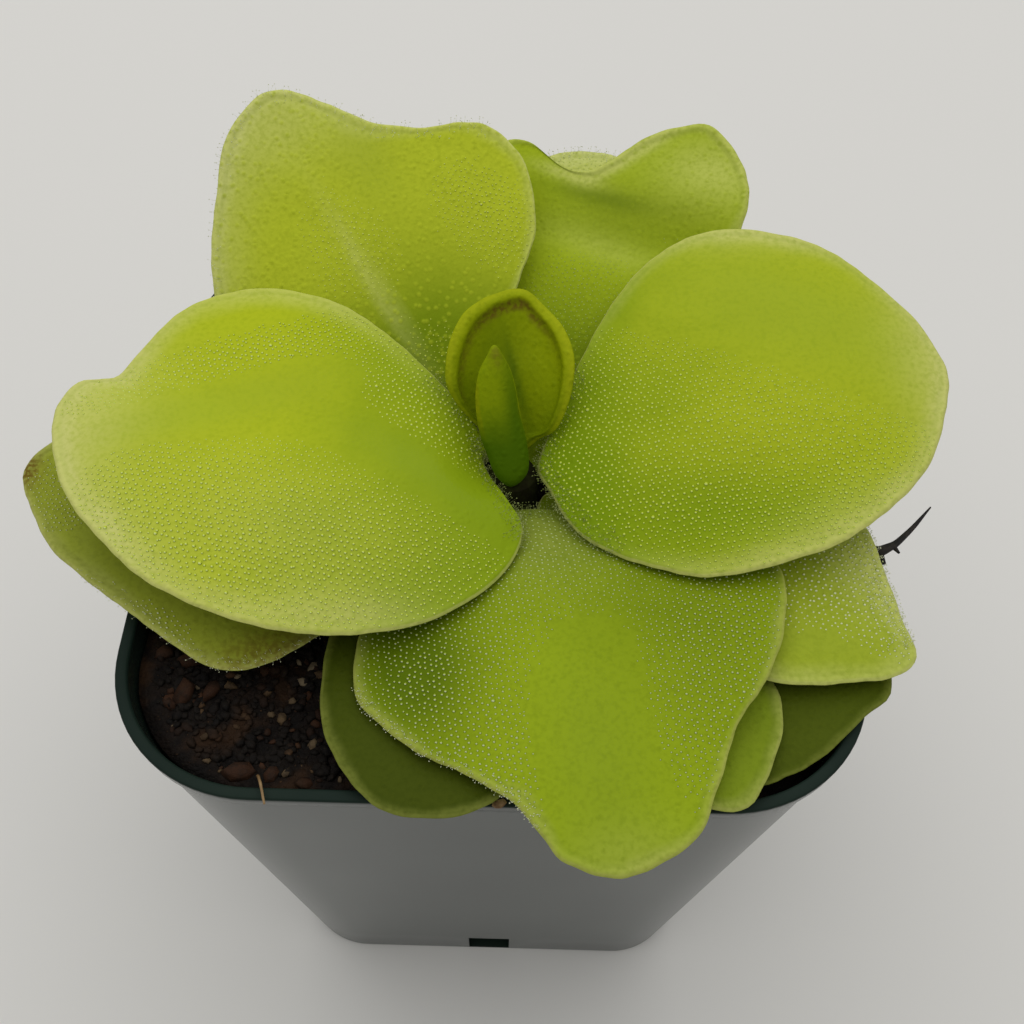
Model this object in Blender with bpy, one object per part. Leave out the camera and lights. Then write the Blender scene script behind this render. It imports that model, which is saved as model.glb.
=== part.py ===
"""A butterwort in its square nursery pot: broad leaves in a rosette on a short crown, potting mix, pot and a few
loose fibres. Metres, +Z up. The origin is the middle of the pot's base, and -Y faces the viewer."""

import bmesh
import bpy
import numpy as np

MM = 0.001
GAP = 0.3 * MM

POT_WIDTH = 76 * MM
POT_HEIGHT = 82 * MM
POT_BASE_WIDTH = 57 * MM
RIM_CORNER = 15 * MM
BASE_CORNER = 10 * MM
CORNER_STEPS = 6
WALL = 0.9 * MM
FLOOR = 1.6 * MM
LIP_OUT = 0.4 * MM
LIP_TALL = 2.2 * MM
EDGE = 0.35 * MM
SLOT_WIDTH, SLOT_DEEP, SLOT_FOOT, SLOT_TALL = 6.0 * MM, 4 * MM, 1.0 * MM, 7.5 * MM

CROWN_X, CROWN_Y = 1.5 * MM, -2 * MM
CROWN_SIDES = 16
CROWN_PROFILE = [(0.9, -12), (1.6, -9), (2.3, -5.5), (2.8, -4), (2.9, -1), (2.9, 3), (2.6, 4.4), (1.5, 5.1)]
HOLE_RADIUS = 3.2 * MM
HOLE_DEPTH = 14.6 * MM
ROOTS = 5
ROOT_RADIUS = 0.5 * MM

SOIL_LEVEL = -4.2 * MM
SOIL_FALL = 0.05
SOIL_LUMP = 0.8 * MM
SOIL_RINGS = 9
SIDE_POINTS = 3
# Lumps in the mix's surface, in millimetres: place x and y, length, width and turn in degrees. The first are bark
# chips, the short ones perlite grains.
LUMPS = [
    (-24.2, -34, 3.6, 2.4, 5), (-21.2, -34, 2.2, 1.6, 60), (-31, -26, 3.4, 2.6, 80), (-28.4, -25.4, 3, 2, 70),
    (-34, -21.5, 2.4, 1.8, 40), (-31, -22, 3, 2.2, 10), (-17.8, -35, 2, 1.4, 0),
    (-20.2, -26.2, 1.1, 1, 0), (-22.1, -27.8, 0.9, 0.8, 0), (-28.2, -30.7, 1, 0.9, 0), (-27.7, -33, 1, 0.8, 0),
    (-17.6, -30.6, 1.6, 1.2, 80), (-25.3, -29.3, 1, 0.8, 0),
]
MORE_LUMPS = 30
LUMP_SINK = 0.15

# Rods of dry stuff, in millimetres with heights over the rim: x, y, height and radius at each point.
TWIG = [(33, -6.2, -5.1, 0.45), (35, -6.7, -1.2, 0.5), (36.3, -7.1, 0.8, 0.5), (38.5, -7.8, 0.9, 0.55),
        (41.2, -8.6, 1.0, 0.7), (43, -7.6, 1.1, 0.5), (45.3, -5.3, 1.3, 0.4), (47.5, -2.9, 1.6, 0.3)]
TWIG_STUBS = [[(41.1, -8.4, 1.0, 0.5), (41.5, -10, 0.8, 0.3)], [(42.7, -7.8, 1.1, 0.45), (43.6, -9, 1, 0.3)]]
STRAW = [(-22.4, -34.6, -2.5, 0.3), (-21.8, -35.6, 0, 0.3), (-21.3, -36.7, 0.75, 0.3), (-20.9, -38, 0.65, 0.3),
         (-20.5, -39.1, 0.2, 0.3), (-20.4, -39.4, -0.4, 0.3)]
CRUMB = (1.2, -37.9, 1.5, 0.9, 20)

# A leaf lies along its own heading from the crown, in degrees. Its outline is in millimetres, x outwards from the
# crown's axis and y to the left: the right margin, the tip, then the left margin back to the base. Its height over
# the pot's rim is base + rise x + bend x^2 + tilt y + left y^2 (or right y^2 on that side) + its swells, which are
# low humps and hollows: place x and y, half-length, half-width, turn in degrees and height.
LEAVES = {
    "leaf_left": dict(
        heading=172, base=6.0, rise=0.42, bend=-0.0065, tilt=-0.05, left=-0.004, right=-0.004,
        right_margin=[(3.4, -1.6), (5.3, -4), (9, -6.5), (14.2, -10), (19.3, -12.8), (24, -14.2), (30.7, -14),
                      (37.2, -10.3), (40.4, -4.5), (42, 0), (44.2, 1), (46.4, 1.6)],
        tip=(47.4, 5),
        left_margin=[(46, 9.5), (42, 15.5), (34, 21.5), (28, 23.8), (21, 24.8), (14, 24), (6.7, 21), (1.6, 16.4),
                     (-1.3, 11.7), (-2, 7.2), (0, 4.4)],
        swells=[(2.5, 0, 4, 4, 0, -2.2), (24, 2, 20, 6, -4, -0.9)],
        foot=(3.35, 0),
    ),
    "leaf_right": dict(
        heading=8, base=3.36, rise=0.52, bend=-0.0075, tilt=0.18, left=-0.003, right=-0.003,
        right_margin=[(4, -3), (5, -6), (6.6, -9), (9.8, -12), (13.4, -14.3), (17.2, -16), (21, -16.5),
                      (25, -16.2), (31.3, -15), (38, -11.3), (43, -6.5)],
        tip=(47, 2),
        left_margin=[(46.5, 7), (44.8, 11), (42, 15), (38.3, 19.4), (34, 22.2), (27.8, 24.2), (23.2, 24.1),
                     (18, 21.6), (13.6, 17.4), (10, 12.4), (7.3, 8.2), (4.8, 3.6)],
        swells=[(26, -9, 12, 6, 10, -1.0)],
        foot=(3.1, 0),
    ),
    "leaf_front": dict(
        heading=-80, base=0.8, rise=0.28, bend=-0.0058, tilt=0.05, left=-0.0005, right=-0.003,
        right_margin=[(5, -4), (9.5, -10.5), (14.7, -16.8), (21.5, -18.7), (25.4, -17.4), (30, -13.3), (33, -9),
                      (36.3, -5.2), (39.8, -3), (42.4, -1.2)],
        tip=(44.1, 3.6),
        left_margin=[(42, 10), (38, 13), (32.2, 16.4), (28, 20.4), (23, 23.4), (16.5, 25), (10, 22), (6, 14),
                     (4.4, 5)],
        swells=[(24, 0, 22, 5, 0, 0.8), (10, -5, 8, 8, 0, -0.7)],
    ),
    "leaf_right_low": dict(
        heading=-18, base=-0.05, rise=0.139, bend=-0.0014, tilt=0, left=-0.002, right=-0.001,
        right_margin=[(5, -2), (14, -6), (24, -12), (31, -14), (35, -13.4), (39, -11.8), (42.8, -10)],
        tip=(44.7, -7),
        left_margin=[(42.8, -3.6), (40.5, 1), (37.5, 6.6), (33, 11), (23, 12), (12, 8), (5, 2.5)],
        swells=[],
    ),
    "leaf_right_lowest": dict(
        heading=-35, base=-2, rise=0.02, bend=0.0011, tilt=0.06, left=0, right=0,
        right_margin=[(5, -1.8), (14, -4), (28, -10.5), (37.5, -13.2), (40.6, -10.4), (42.6, -6), (43.5, -1.3)],
        tip=(44.5, 2.4),
        left_margin=[(42, 5.5), (34.5, 7.4), (20, 7), (10, 5), (5, 2)],
        swells=[],
    ),
    "leaf_front_right": dict(
        heading=-52, base=-0.6, rise=0.053, bend=0, tilt=-0.04, left=0, right=0,
        right_margin=[(5, -1.8), (11, -3), (20, -4.5), (32.5, -7), (39, -7.6)],
        tip=(42, -5),
        left_margin=[(41.6, -2), (39.8, 1.6), (37.5, 4.8), (34, 6.8), (27, 7.6), (16, 6), (9, 3.5), (5, 1.8)],
        swells=[],
    ),
    "leaf_front_left": dict(
        heading=-112, base=-0.4, rise=0.05, bend=0, tilt=0, left=0, right=0,
        right_margin=[(5, -1.8), (10, -4.5), (17, -8), (23.5, -9.5), (31.3, -6.5), (35.2, -3.2)],
        tip=(38.3, 2.6),
        left_margin=[(37.6, 7.4), (35, 11.4), (30, 13.4), (20, 11), (10, 5.5), (5, 2)],
        swells=[],
    ),
    "leaf_left_low": dict(
        heading=190, base=0.6, rise=0.1, bend=-0.001, tilt=0, left=-0.002, right=-0.002,
        right_margin=[(5, -2), (11, -7.5), (20, -13.5), (33, -16.8), (44.7, -15.2), (50, -11.8)],
        tip=(52.2, -8.6),
        left_margin=[(51.2, -4), (48.7, 1.8), (45, 6.2), (40.6, 10.6), (34, 16.8), (30, 18.4), (25.5, 17.2),
                     (19, 13.5), (12, 8), (5, 2)],
        swells=[],
    ),
    "leaf_back_left": dict(
        heading=118, base=1.6, rise=0.36, bend=0.0025, tilt=-0.1, left=-0.012, right=-0.002,
        right_margin=[(5, -2), (10, -4), (16, -7), (20, -10.4), (24.8, -15), (30.5, -17), (34, -16.6),
                      (36.6, -14.8), (38, -11.5), (38.7, -7.5), (40.6, -2.8), (43, 0.3)],
        tip=(47, 5),
        left_margin=[(48, 9), (46.2, 13.4), (43.3, 15.8), (36.5, 20), (30, 20.6), (20.5, 16.5), (11, 8.4), (5, 2.4)],
        swells=[],
    ),
    "leaf_back_right": dict(
        heading=62, base=0.4, rise=0.3, bend=0.0018, tilt=0, left=-0.002, right=-0.004,
        right_margin=[(5, -2), (13.5, -4.4), (23, -7), (33, -8.8), (37, -8.9), (41, -7.9), (44.7, -5)],
        tip=(47, 0),
        left_margin=[(45.4, 3.6), (42.8, 6.6), (39.3, 8.8), (37.2, 11.4), (37.2, 15.2), (38.7, 19.6),
                     (37.6, 22.6), (32, 21), (24, 16.5), (16, 11), (9, 5.5), (5, 2.4)],
        swells=[(32, 2, 3.5, 14, 10, -1.6), (38, -4, 4, 9, 0, 1.2)],
    ),
    "leaf_back_low": dict(
        heading=84, base=-0.6, rise=0.12, bend=0.001, tilt=0, left=-0.002, right=-0.002,
        right_margin=[(5, -2), (12, -6.5), (25, -12), (38, -14), (46.6, -12), (49.6, -8)],
        tip=(50.3, -3.5),
        left_margin=[(48.9, 1.5), (45.3, 6.5), (38, 10.5), (25, 11.5), (12, 6.5), (5, 2)],
        swells=[],
    ),
    "leaf_cupped": dict(
        heading=85, base=3.0, rise=0.9, bend=0, tilt=0, left=0.1, right=0.1,
        right_margin=[(3.5, -2.4), (3.8, -4.2), (5.6, -5.2), (8, -5.4), (10.2, -4.7), (12.6, -3)],
        tip=(15, 0.4),
        left_margin=[(13.9, 3.5), (11.4, 5.9), (8.6, 7.2), (5.8, 7.6), (4.2, 7), (3.4, 3.5)],
        swells=[],
        foot=(2.45, 0),
    ),
    "leaf_youngest": dict(
        heading=104, base=8.2, rise=1.35, bend=0, tilt=0, left=0, right=0,
        right_margin=[(-1.2, -1), (0.6, -1.5), (3.2, -1.2), (5.4, -0.4)],
        tip=(6.9, 0.8),
        left_margin=[(5.3, 2.2), (3.3, 3.1), (1, 3.2), (-0.9, 2.4)],
        swells=[],
        foot=(-2, 0.6),
        thick=2.2,
    ),
}
FINE_LEAVES = ("leaf_left", "leaf_right", "leaf_front", "leaf_back_left", "leaf_back_right", "leaf_left_low")
LEAF_FOOT = (3.5, 0)
FINE_GRID, PLAIN_GRID = (17, 6), (12, 5)
LEAF_THICK, MARGIN_THICK, MARGIN_ROUND = 1.0, 0.7, 0.3
SPINE_START, SPINE_END = 0.12, 0.78
STEPS_PER_POINT = 12


def material(name, colour, roughness):
    """A Principled material in one plain colour."""
    made = bpy.data.materials.new(name)
    made.use_nodes = True
    shader = made.node_tree.nodes["Principled BSDF"]
    shader.inputs["Base Color"].default_value = (*colour, 1)
    shader.inputs["Roughness"].default_value = roughness
    return made


def mesh_object(name, points, faces, finish, smooth=False):
    """A named object from points in metres and faces that turn anticlockwise seen from outside."""
    mesh = bpy.data.meshes.new(name)
    mesh.from_pydata([tuple(map(float, p)) for p in points], [], [tuple(map(int, f)) for f in faces])
    mesh.materials.append(finish)
    if smooth:
        mesh.shade_smooth()
    made = bpy.data.objects.new(name, mesh)
    bpy.context.scene.collection.objects.link(made)
    return made


def unite(target, pieces):
    """Joins the pieces to the target in one body, and removes them."""
    group = bpy.data.collections.new(target.name + "_pieces")
    for piece in pieces:
        group.objects.link(piece)
    union = target.modifiers.new("union", "BOOLEAN")
    union.operation = "UNION"
    union.operand_type = "COLLECTION"
    union.collection = group
    union.solver = "EXACT"
    graph = bpy.context.evaluated_depsgraph_get()
    joined = bpy.data.meshes.new_from_object(target.evaluated_get(graph))
    target.modifiers.remove(union)
    target.data = joined
    for piece in pieces:
        bpy.data.objects.remove(piece)
    bpy.data.collections.remove(group)


def smooth_loop(points, steps):
    """A closed curve through the points: on each it runs level with the line between its two neighbours."""
    here = np.asarray(points, float)
    before, after, beyond = (np.roll(here, shift, axis=0) for shift in (1, -1, -2))
    t = np.linspace(0, 1, steps, endpoint=False)[:, None, None]
    curve = 0.5 * (2 * here + (after - before) * t + (2 * before - 5 * here + 4 * after - beyond) * t**2
                   + (3 * here - before - 3 * after + beyond) * t**3)
    return curve.transpose(1, 0, 2).reshape(-1, 2)


def even_points(line, count):
    """Points at even distances along a line of points, with both its ends."""
    lengths = np.r_[0, np.cumsum(np.linalg.norm(np.diff(line, axis=0), axis=1))]
    places = np.linspace(0, lengths[-1], count)
    return np.stack([np.interp(places, lengths, line[:, k]) for k in (0, 1)], axis=1)


def leaf_height(leaf, x, y):
    """The leaf's height over the rim, in millimetres: its curve along and across, and its swells."""
    across = np.where(y > 0, leaf["left"], leaf["right"])
    height = leaf["base"] + leaf["rise"] * x + leaf["bend"] * x**2 + leaf["tilt"] * y + across * y**2
    for place_x, place_y, half_length, half_width, turn, swell in leaf["swells"]:
        cos, sin = np.cos(np.radians(turn)), np.sin(np.radians(turn))
        along = ((x - place_x) * cos + (y - place_y) * sin) / half_length
        aside = ((y - place_y) * cos - (x - place_x) * sin) / half_width
        height = height + swell * np.exp(-along**2 - aside**2)
    return height


def leaf_grid(leaf, stations, rings):
    """The blade's middle surface, rings x stations x 2 sides: lines run like veins from points along the midrib to
    the margins. Both sides meet on the midrib, at the base and at the tip."""
    foot = leaf.get("foot", LEAF_FOOT)
    outline = [foot, *leaf["right_margin"], leaf["tip"], *leaf["left_margin"]]
    loop = smooth_loop(outline, STEPS_PER_POINT)
    turn = STEPS_PER_POINT * (len(leaf["right_margin"]) + 1)
    right = even_points(loop[:turn + 1], stations + 1)
    left = even_points(np.vstack([loop[turn:], loop[:1]])[::-1], stations + 1)
    along = (1 - np.cos(np.linspace(0, np.pi, stations + 1))) / 2
    start, end = (np.array(foot) + (np.array(leaf["tip"]) - foot) * share for share in (SPINE_START, SPINE_END))
    spine = start + (end - start) * along[:, None]
    share = np.linspace(0, 1, rings + 1)[:, None, None, None]
    flat = spine[:, None] + (np.stack([right, left], axis=1) - spine[:, None]) * share
    return np.concatenate([flat, leaf_height(leaf, flat[..., :1], flat[..., 1:])], axis=-1)


def leaf_faces(stations, rings):
    """Index of every grid point with the doubled ones made one, and the blade's upward triangles."""
    index = np.arange((rings + 1) * (stations + 1) * 2).reshape(rings + 1, stations + 1, 2)
    index[0, :, 1] = index[0, :, 0]
    index[:, 0, 1] = index[:, 0, 0]
    index[:, -1, 1] = index[:, -1, 0]
    near, far = index[:-1], index[1:]
    right = [near[:, :-1, 0], far[:, :-1, 0], far[:, 1:, 0], near[:, 1:, 0]]
    left = [near[:, :-1, 1], near[:, 1:, 1], far[:, 1:, 1], far[:, :-1, 1]]
    quads = np.concatenate([np.stack(side, axis=-1).reshape(-1, 4) for side in (right, left)])
    return index, np.concatenate([quads[:, [0, 1, 2]], quads[:, [0, 2, 3]]])


def face_normals(points, triangles):
    """Unit normals at the points, from the triangles that meet there."""
    corners = points[triangles]
    across = np.cross(corners[:, 1] - corners[:, 0], corners[:, 2] - corners[:, 0])
    normals = np.zeros_like(points)
    for corner in range(3):
        np.add.at(normals, triangles[:, corner], across)
    return normals / np.maximum(np.linalg.norm(normals, axis=1, keepdims=True), 1e-12)


def add_leaf(name, leaf, finish):
    """A blade with its real thickness: the middle surface moved half of it each way, and a rounded margin."""
    stations, rings = FINE_GRID if name in FINE_LEAVES else PLAIN_GRID
    middle = leaf_grid(leaf, stations, rings)
    index, upward = leaf_faces(stations, rings)
    points = middle.reshape(-1, 3)
    normals = face_normals(points, upward)
    share = np.repeat(np.linspace(0, 1, rings + 1), (stations + 1) * 2)[:, None]
    thick = leaf.get("thick", LEAF_THICK)
    half = (thick + (MARGIN_THICK - thick) * share**2) / 2
    count = len(points)
    margin = np.r_[index[-1, :, 0], index[-1, -2:0:-1, 1]]
    inner = np.r_[index[-2, :, 0], index[-2, -2:0:-1, 1]]
    outward = points[margin] - points[inner]
    outward /= np.linalg.norm(outward, axis=1, keepdims=True)
    edge = points[margin] + outward * MARGIN_ROUND
    everything = np.vstack([points + normals * half, points - normals * half, edge]) * MM
    top, low = margin, margin + count
    rim = 2 * count + np.arange(len(margin))
    top_next, low_next, rim_next = np.roll(top, -1), np.roll(low, -1), np.roll(rim, -1)
    wall = [(rim, rim_next, top_next), (rim, top_next, top), (low, low_next, rim_next), (low, rim_next, rim)]
    faces = np.concatenate([upward, upward[:, ::-1] + count, *(np.stack(strip, axis=1) for strip in wall)])
    used = np.unique(faces)
    blade = mesh_object(name, everything[used], np.searchsorted(used, faces), finish, smooth=True)
    blade.location = (CROWN_X, CROWN_Y, POT_HEIGHT)
    blade.rotation_euler.z = np.radians(leaf["heading"])


def rounded_square(half, corner, height, between=0):
    """Points round a square with rounded corners, anticlockwise, with some more between the corners."""
    turn = np.linspace(0, np.pi / 2, CORNER_STEPS + 1)
    quarter = (half - corner) * (1 + 1j) + corner * np.exp(1j * turn)
    side = quarter[-1] + (quarter[0] * 1j - quarter[-1]) * np.linspace(0, 1, between + 2)[1:-1]
    ring = np.concatenate([np.r_[quarter, side] * 1j**k for k in range(4)])
    return np.column_stack([ring.real, ring.imag, np.full(len(ring), height)])


def outer_half(height):
    """Half the pot's outer width at a height: its walls spread evenly from the base to the rim."""
    return (POT_BASE_WIDTH + (POT_WIDTH - 2 * LIP_OUT - POT_BASE_WIDTH) * height / POT_HEIGHT) / 2


def corner_radius(height):
    """The radius of the pot's outer corners at a height."""
    return BASE_CORNER + (RIM_CORNER - BASE_CORNER) * height / POT_HEIGHT


def loft(name, sections, finish, smooth=False):
    """A closed body through rings of points, each end closed with a plain face."""
    count = len(sections[0])
    here = np.arange(count)
    onward = np.roll(here, -1)
    faces = [face for k in range(len(sections) - 1)
             for face in np.stack([here, onward, onward + count, here + count], axis=1) + count * k]
    faces += [here[::-1], here + count * (len(sections) - 1)]
    return mesh_object(name, np.concatenate(sections), faces, finish, smooth)


def add_pot(finish):
    """The moulded pot: spreading walls, a floor, a thin lip round the rim and a slot low in each side."""
    def ring(height, grow=0.0):
        return rounded_square(outer_half(height) + grow, corner_radius(height) + grow, height)

    under_lip = POT_HEIGHT - LIP_TALL
    sections = [
        ring(0, -2 * EDGE), ring(2 * EDGE), ring(under_lip), ring(under_lip + EDGE, LIP_OUT),
        ring(POT_HEIGHT - EDGE, LIP_OUT), ring(POT_HEIGHT, LIP_OUT - EDGE), ring(POT_HEIGHT, EDGE - WALL),
        ring(POT_HEIGHT - EDGE, -WALL), ring(FLOOR, -WALL),
    ]
    pot = loft("pot", sections, finish, smooth=True)
    pot.data.set_sharp_from_angle(angle=np.radians(30))
    middle = SLOT_FOOT + SLOT_TALL / 2
    for side in range(4):
        angle = side * np.pi / 2
        bpy.ops.mesh.primitive_cube_add(size=1)
        slot = bpy.context.object
        slot.name = f"slot_{side}"
        slot.dimensions = (SLOT_DEEP, SLOT_WIDTH, SLOT_TALL)
        slot.rotation_euler.z = angle
        slot.location = (outer_half(middle) * np.cos(angle), outer_half(middle) * np.sin(angle), middle)
        slot.display_type = "WIRE"
        slot.hide_render = True
        cut = pot.modifiers.new(slot.name, "BOOLEAN")
        cut.operation = "DIFFERENCE"
        cut.object = slot
        cut.solver = "EXACT"


def soil_height(x, y):
    """The mix's surface: it falls to the right, rises to the crown and is lumpy, by sums of waves."""
    level = POT_HEIGHT + SOIL_LEVEL - SOIL_FALL * x
    mound = 1.2 * MM * np.exp(-((x - CROWN_X)**2 + (y - CROWN_Y)**2) / (14 * MM)**2)
    rough = (np.sin(410 * x + 1.3 * np.sin(530 * y)) + np.sin(470 * y + 0.7 + np.sin(390 * x))
             + 0.7 * np.sin(900 * (x + y)) * np.cos(830 * (x - y)))
    return level + mound + SOIL_LUMP * rough / 2.7


def lump(name, place, size, turn, random, finish):
    """A rough lump: a ball of triangles, squashed and turned, with its points moved a little at random."""
    ball = bmesh.new()
    bmesh.ops.create_icosphere(ball, subdivisions=1, radius=0.5)
    points = np.array([v.co for v in ball.verts]) * (1 + random.uniform(-0.18, 0.18, (len(ball.verts), 1))) * size
    faces = [[v.index for v in face.verts] for face in ball.faces]
    ball.free()
    cos, sin = np.cos(turn), np.sin(turn)
    points = points @ np.array([[cos, sin, 0], [-sin, cos, 0], [0, 0, 1]]) + place
    return mesh_object(name, points, faces, finish)


def add_soil(finish):
    """The potting mix fills the pot to under its rim and has a plain hole for the rootstock. Bark chips and perlite
    grains stand out of its surface."""
    def ring(height, shrink):
        return rounded_square(outer_half(height) - shrink, corner_radius(height) - shrink, height, SIDE_POINTS)

    inset = WALL + GAP
    level = POT_HEIGHT + SOIL_LEVEL
    outline = ring(level, inset)[:, :2]
    spread = (outer_half(soil_height(*outline.T)) - inset) / (outer_half(level) - inset)
    outline *= spread[:, None]
    turn = np.arctan2(outline[:, 1], outline[:, 0])
    hole = HOLE_RADIUS * np.column_stack([np.cos(turn), np.sin(turn)]) + (CROWN_X, CROWN_Y)
    share = np.linspace(0, 1, SOIL_RINGS)[:, None, None] ** 0.8
    flat = outline + (hole - outline) * share
    top = np.dstack([flat, soil_height(flat[..., 0], flat[..., 1])])
    deep = np.column_stack([hole, np.full(len(hole), POT_HEIGHT - HOLE_DEPTH)])
    soil = loft("soil", [ring(FLOOR + GAP, inset), *top, deep], finish)
    random = np.random.default_rng(3)
    places = [(x * MM, y * MM, long * MM, wide * MM, turn) for x, y, long, wide, turn in LUMPS]
    for _ in range(MORE_LUMPS):
        turn, away = random.uniform(0, 360), random.uniform(10, 31) * MM
        long = random.uniform(1.2, 3.4) * MM
        x, y = away * np.cos(np.radians(turn)), away * np.sin(np.radians(turn))
        places.append((x, y, long, 0.7 * long, 2 * turn))
    unite(soil, [lump(f"lump_{k}", (x, y, soil_height(x, y) - LUMP_SINK * long), (long, wide, 0.6 * wide),
                      np.radians(turn), random, finish) for k, (x, y, long, wide, turn) in enumerate(places)])


def rod(name, stations, sides, finish):
    """A round rod through points given as x, y, height over the rim and radius, in millimetres."""
    line = np.array(stations, float)
    along = np.gradient(line[:, :3], axis=0)
    along /= np.linalg.norm(along, axis=1, keepdims=True)
    aside = np.cross((-0.5, 0.8, 0.3), along)
    aside /= np.linalg.norm(aside, axis=1, keepdims=True)
    turn = np.arange(sides) * 2 * np.pi / sides
    around = aside[:, None] * np.cos(turn)[:, None] + np.cross(along, aside)[:, None] * np.sin(turn)[:, None]
    sections = (line[:, None, :3] + around * line[:, None, 3:]) * MM + (0, 0, POT_HEIGHT)
    return loft(name, list(sections), finish, smooth=True)


def add_crown(finish):
    """The short crown that carries the leaves, with its rootstock and a few stubby roots, in one body."""
    turn = np.arange(CROWN_SIDES) * 2 * np.pi / CROWN_SIDES
    sections = [np.column_stack([CROWN_X + radius * MM * np.cos(turn), CROWN_Y + radius * MM * np.sin(turn),
                                 np.full(CROWN_SIDES, POT_HEIGHT + height * MM)])
                for radius, height in CROWN_PROFILE]
    crown = loft("crown", sections, finish, smooth=True)
    roots = []
    for k in range(ROOTS):
        out = np.array([np.cos(k * 2 * np.pi / ROOTS), np.sin(k * 2 * np.pi / ROOTS)])
        middle = np.array([CROWN_X, CROWN_Y]) / MM
        reach = 1.7 + 0.25 * np.sin(3 * k)
        thick = ROOT_RADIUS / MM
        roots.append(rod(f"root_{k}", [(*(middle + 0.5 * out), -8, thick), (*(middle + 1.4 * out), -10.5, thick),
                                       (*(middle + reach * out), -14, 0.7 * thick)], 8, finish))
    unite(crown, roots)


def add_debris(bark, straw, tan):
    """A dark twig over the rim at the right, a straw fibre over it at the front left, and a crumb on it."""
    twig = rod("twig", TWIG, 8, bark)
    unite(twig, [rod(f"stub_{k}", stub, 6, bark) for k, stub in enumerate(TWIG_STUBS)])
    rod("straw", STRAW, 6, straw)
    x, y, long, wide, turn = CRUMB
    lump("crumb", (x * MM, y * MM, POT_HEIGHT + GAP + 0.35 * wide * MM), (long * MM, wide * MM, 0.6 * wide * MM),
         np.radians(turn), np.random.default_rng(5), tan)


def main():
    for old in list(bpy.data.objects):
        bpy.data.objects.remove(old)
    leaf_green = material("leaf", (0.36, 0.5, 0.03), 0.4)
    crown_green = material("crown", (0.3, 0.32, 0.08), 0.6)
    pot_green = material("pot", (0.02, 0.035, 0.028), 0.35)
    mix_brown = material("mix", (0.035, 0.022, 0.014), 0.95)
    add_pot(pot_green)
    add_soil(mix_brown)
    add_crown(crown_green)
    add_debris(material("twig", (0.02, 0.017, 0.013), 0.8), material("straw", (0.45, 0.3, 0.12), 0.7),
               material("crumb", (0.3, 0.19, 0.08), 0.9))
    for name, leaf in LEAVES.items():
        add_leaf(name, leaf, leaf_green)


main()
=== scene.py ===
import bpy
import numpy as np
from mathutils import Matrix, Vector


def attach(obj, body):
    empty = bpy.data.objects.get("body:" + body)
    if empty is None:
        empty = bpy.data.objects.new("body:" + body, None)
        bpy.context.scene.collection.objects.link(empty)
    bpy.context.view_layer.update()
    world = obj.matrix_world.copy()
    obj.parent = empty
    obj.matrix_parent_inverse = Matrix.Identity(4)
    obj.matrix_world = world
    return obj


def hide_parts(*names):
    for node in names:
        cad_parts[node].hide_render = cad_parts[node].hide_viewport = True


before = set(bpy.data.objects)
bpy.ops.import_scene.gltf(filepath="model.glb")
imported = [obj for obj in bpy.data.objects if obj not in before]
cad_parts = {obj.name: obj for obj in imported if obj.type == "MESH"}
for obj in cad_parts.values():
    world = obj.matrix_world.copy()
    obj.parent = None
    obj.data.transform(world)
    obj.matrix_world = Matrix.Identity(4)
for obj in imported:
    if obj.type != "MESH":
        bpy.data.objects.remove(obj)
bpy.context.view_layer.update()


# The camera looks down on the plant from the front, a little turned about its own line of sight, as a
# hand-held one is. Its lens is a normal one for a picture as wide as it is tall.
CAMERA_PLACE = (0.0016, -0.0805, 0.190)
CAMERA_TILT, CAMERA_TURN = 35.3, 1.65
LENS, FILM_WIDTH, NEAREST = 42.1875, 36, 0.005

camera = bpy.data.objects.new("camera", bpy.data.cameras.new("camera"))
camera.data.lens, camera.data.sensor_width = LENS, FILM_WIDTH
camera.data.clip_start = NEAREST
camera.matrix_world = (Matrix.Translation(CAMERA_PLACE) @ Matrix.Rotation(np.radians(CAMERA_TILT), 4, "X")
                       @ Matrix.Rotation(np.radians(CAMERA_TURN), 4, "Z"))
bpy.context.scene.collection.objects.link(camera)
bpy.context.scene.camera = camera
bpy.context.scene.view_settings.view_transform = "Standard"


# Soft light: a dim pale room all round, and one wide lamp that hangs high over the plant, a little behind
# it, and looks at the rosette.
ROOM_COLOUR, ROOM_STRENGTH = (1.0, 0.99, 0.96, 1), 0.30
LAMP_PLACE, LAMP_WIDTH, LAMP_WATTS = (-0.05, 0.28, 1.15), 2.2, 15.5
LIT_PLACE = (0, 0, 0.09)

room = bpy.data.worlds.new("room")
room.use_nodes = True
room.node_tree.nodes["Background"].inputs["Color"].default_value = ROOM_COLOUR
room.node_tree.nodes["Background"].inputs["Strength"].default_value = ROOM_STRENGTH
bpy.context.scene.world = room
lamp = bpy.data.objects.new("overhead", bpy.data.lights.new("overhead", "AREA"))
lamp.data.size, lamp.data.energy = LAMP_WIDTH, LAMP_WATTS
away = Vector(LAMP_PLACE) - Vector(LIT_PLACE)
lamp.matrix_world = Matrix.Translation(LAMP_PLACE) @ away.to_track_quat("Z", "Y").to_matrix().to_4x4()
bpy.context.scene.collection.objects.link(lamp)


# The floor: a pale matt board that the pot stands on. It is only there for the light and the shadow, and is
# no piece of the plant.
FLOOR_COLOUR, FLOOR_HALF = (0.80, 0.79, 0.76, 1), 3.0


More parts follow.
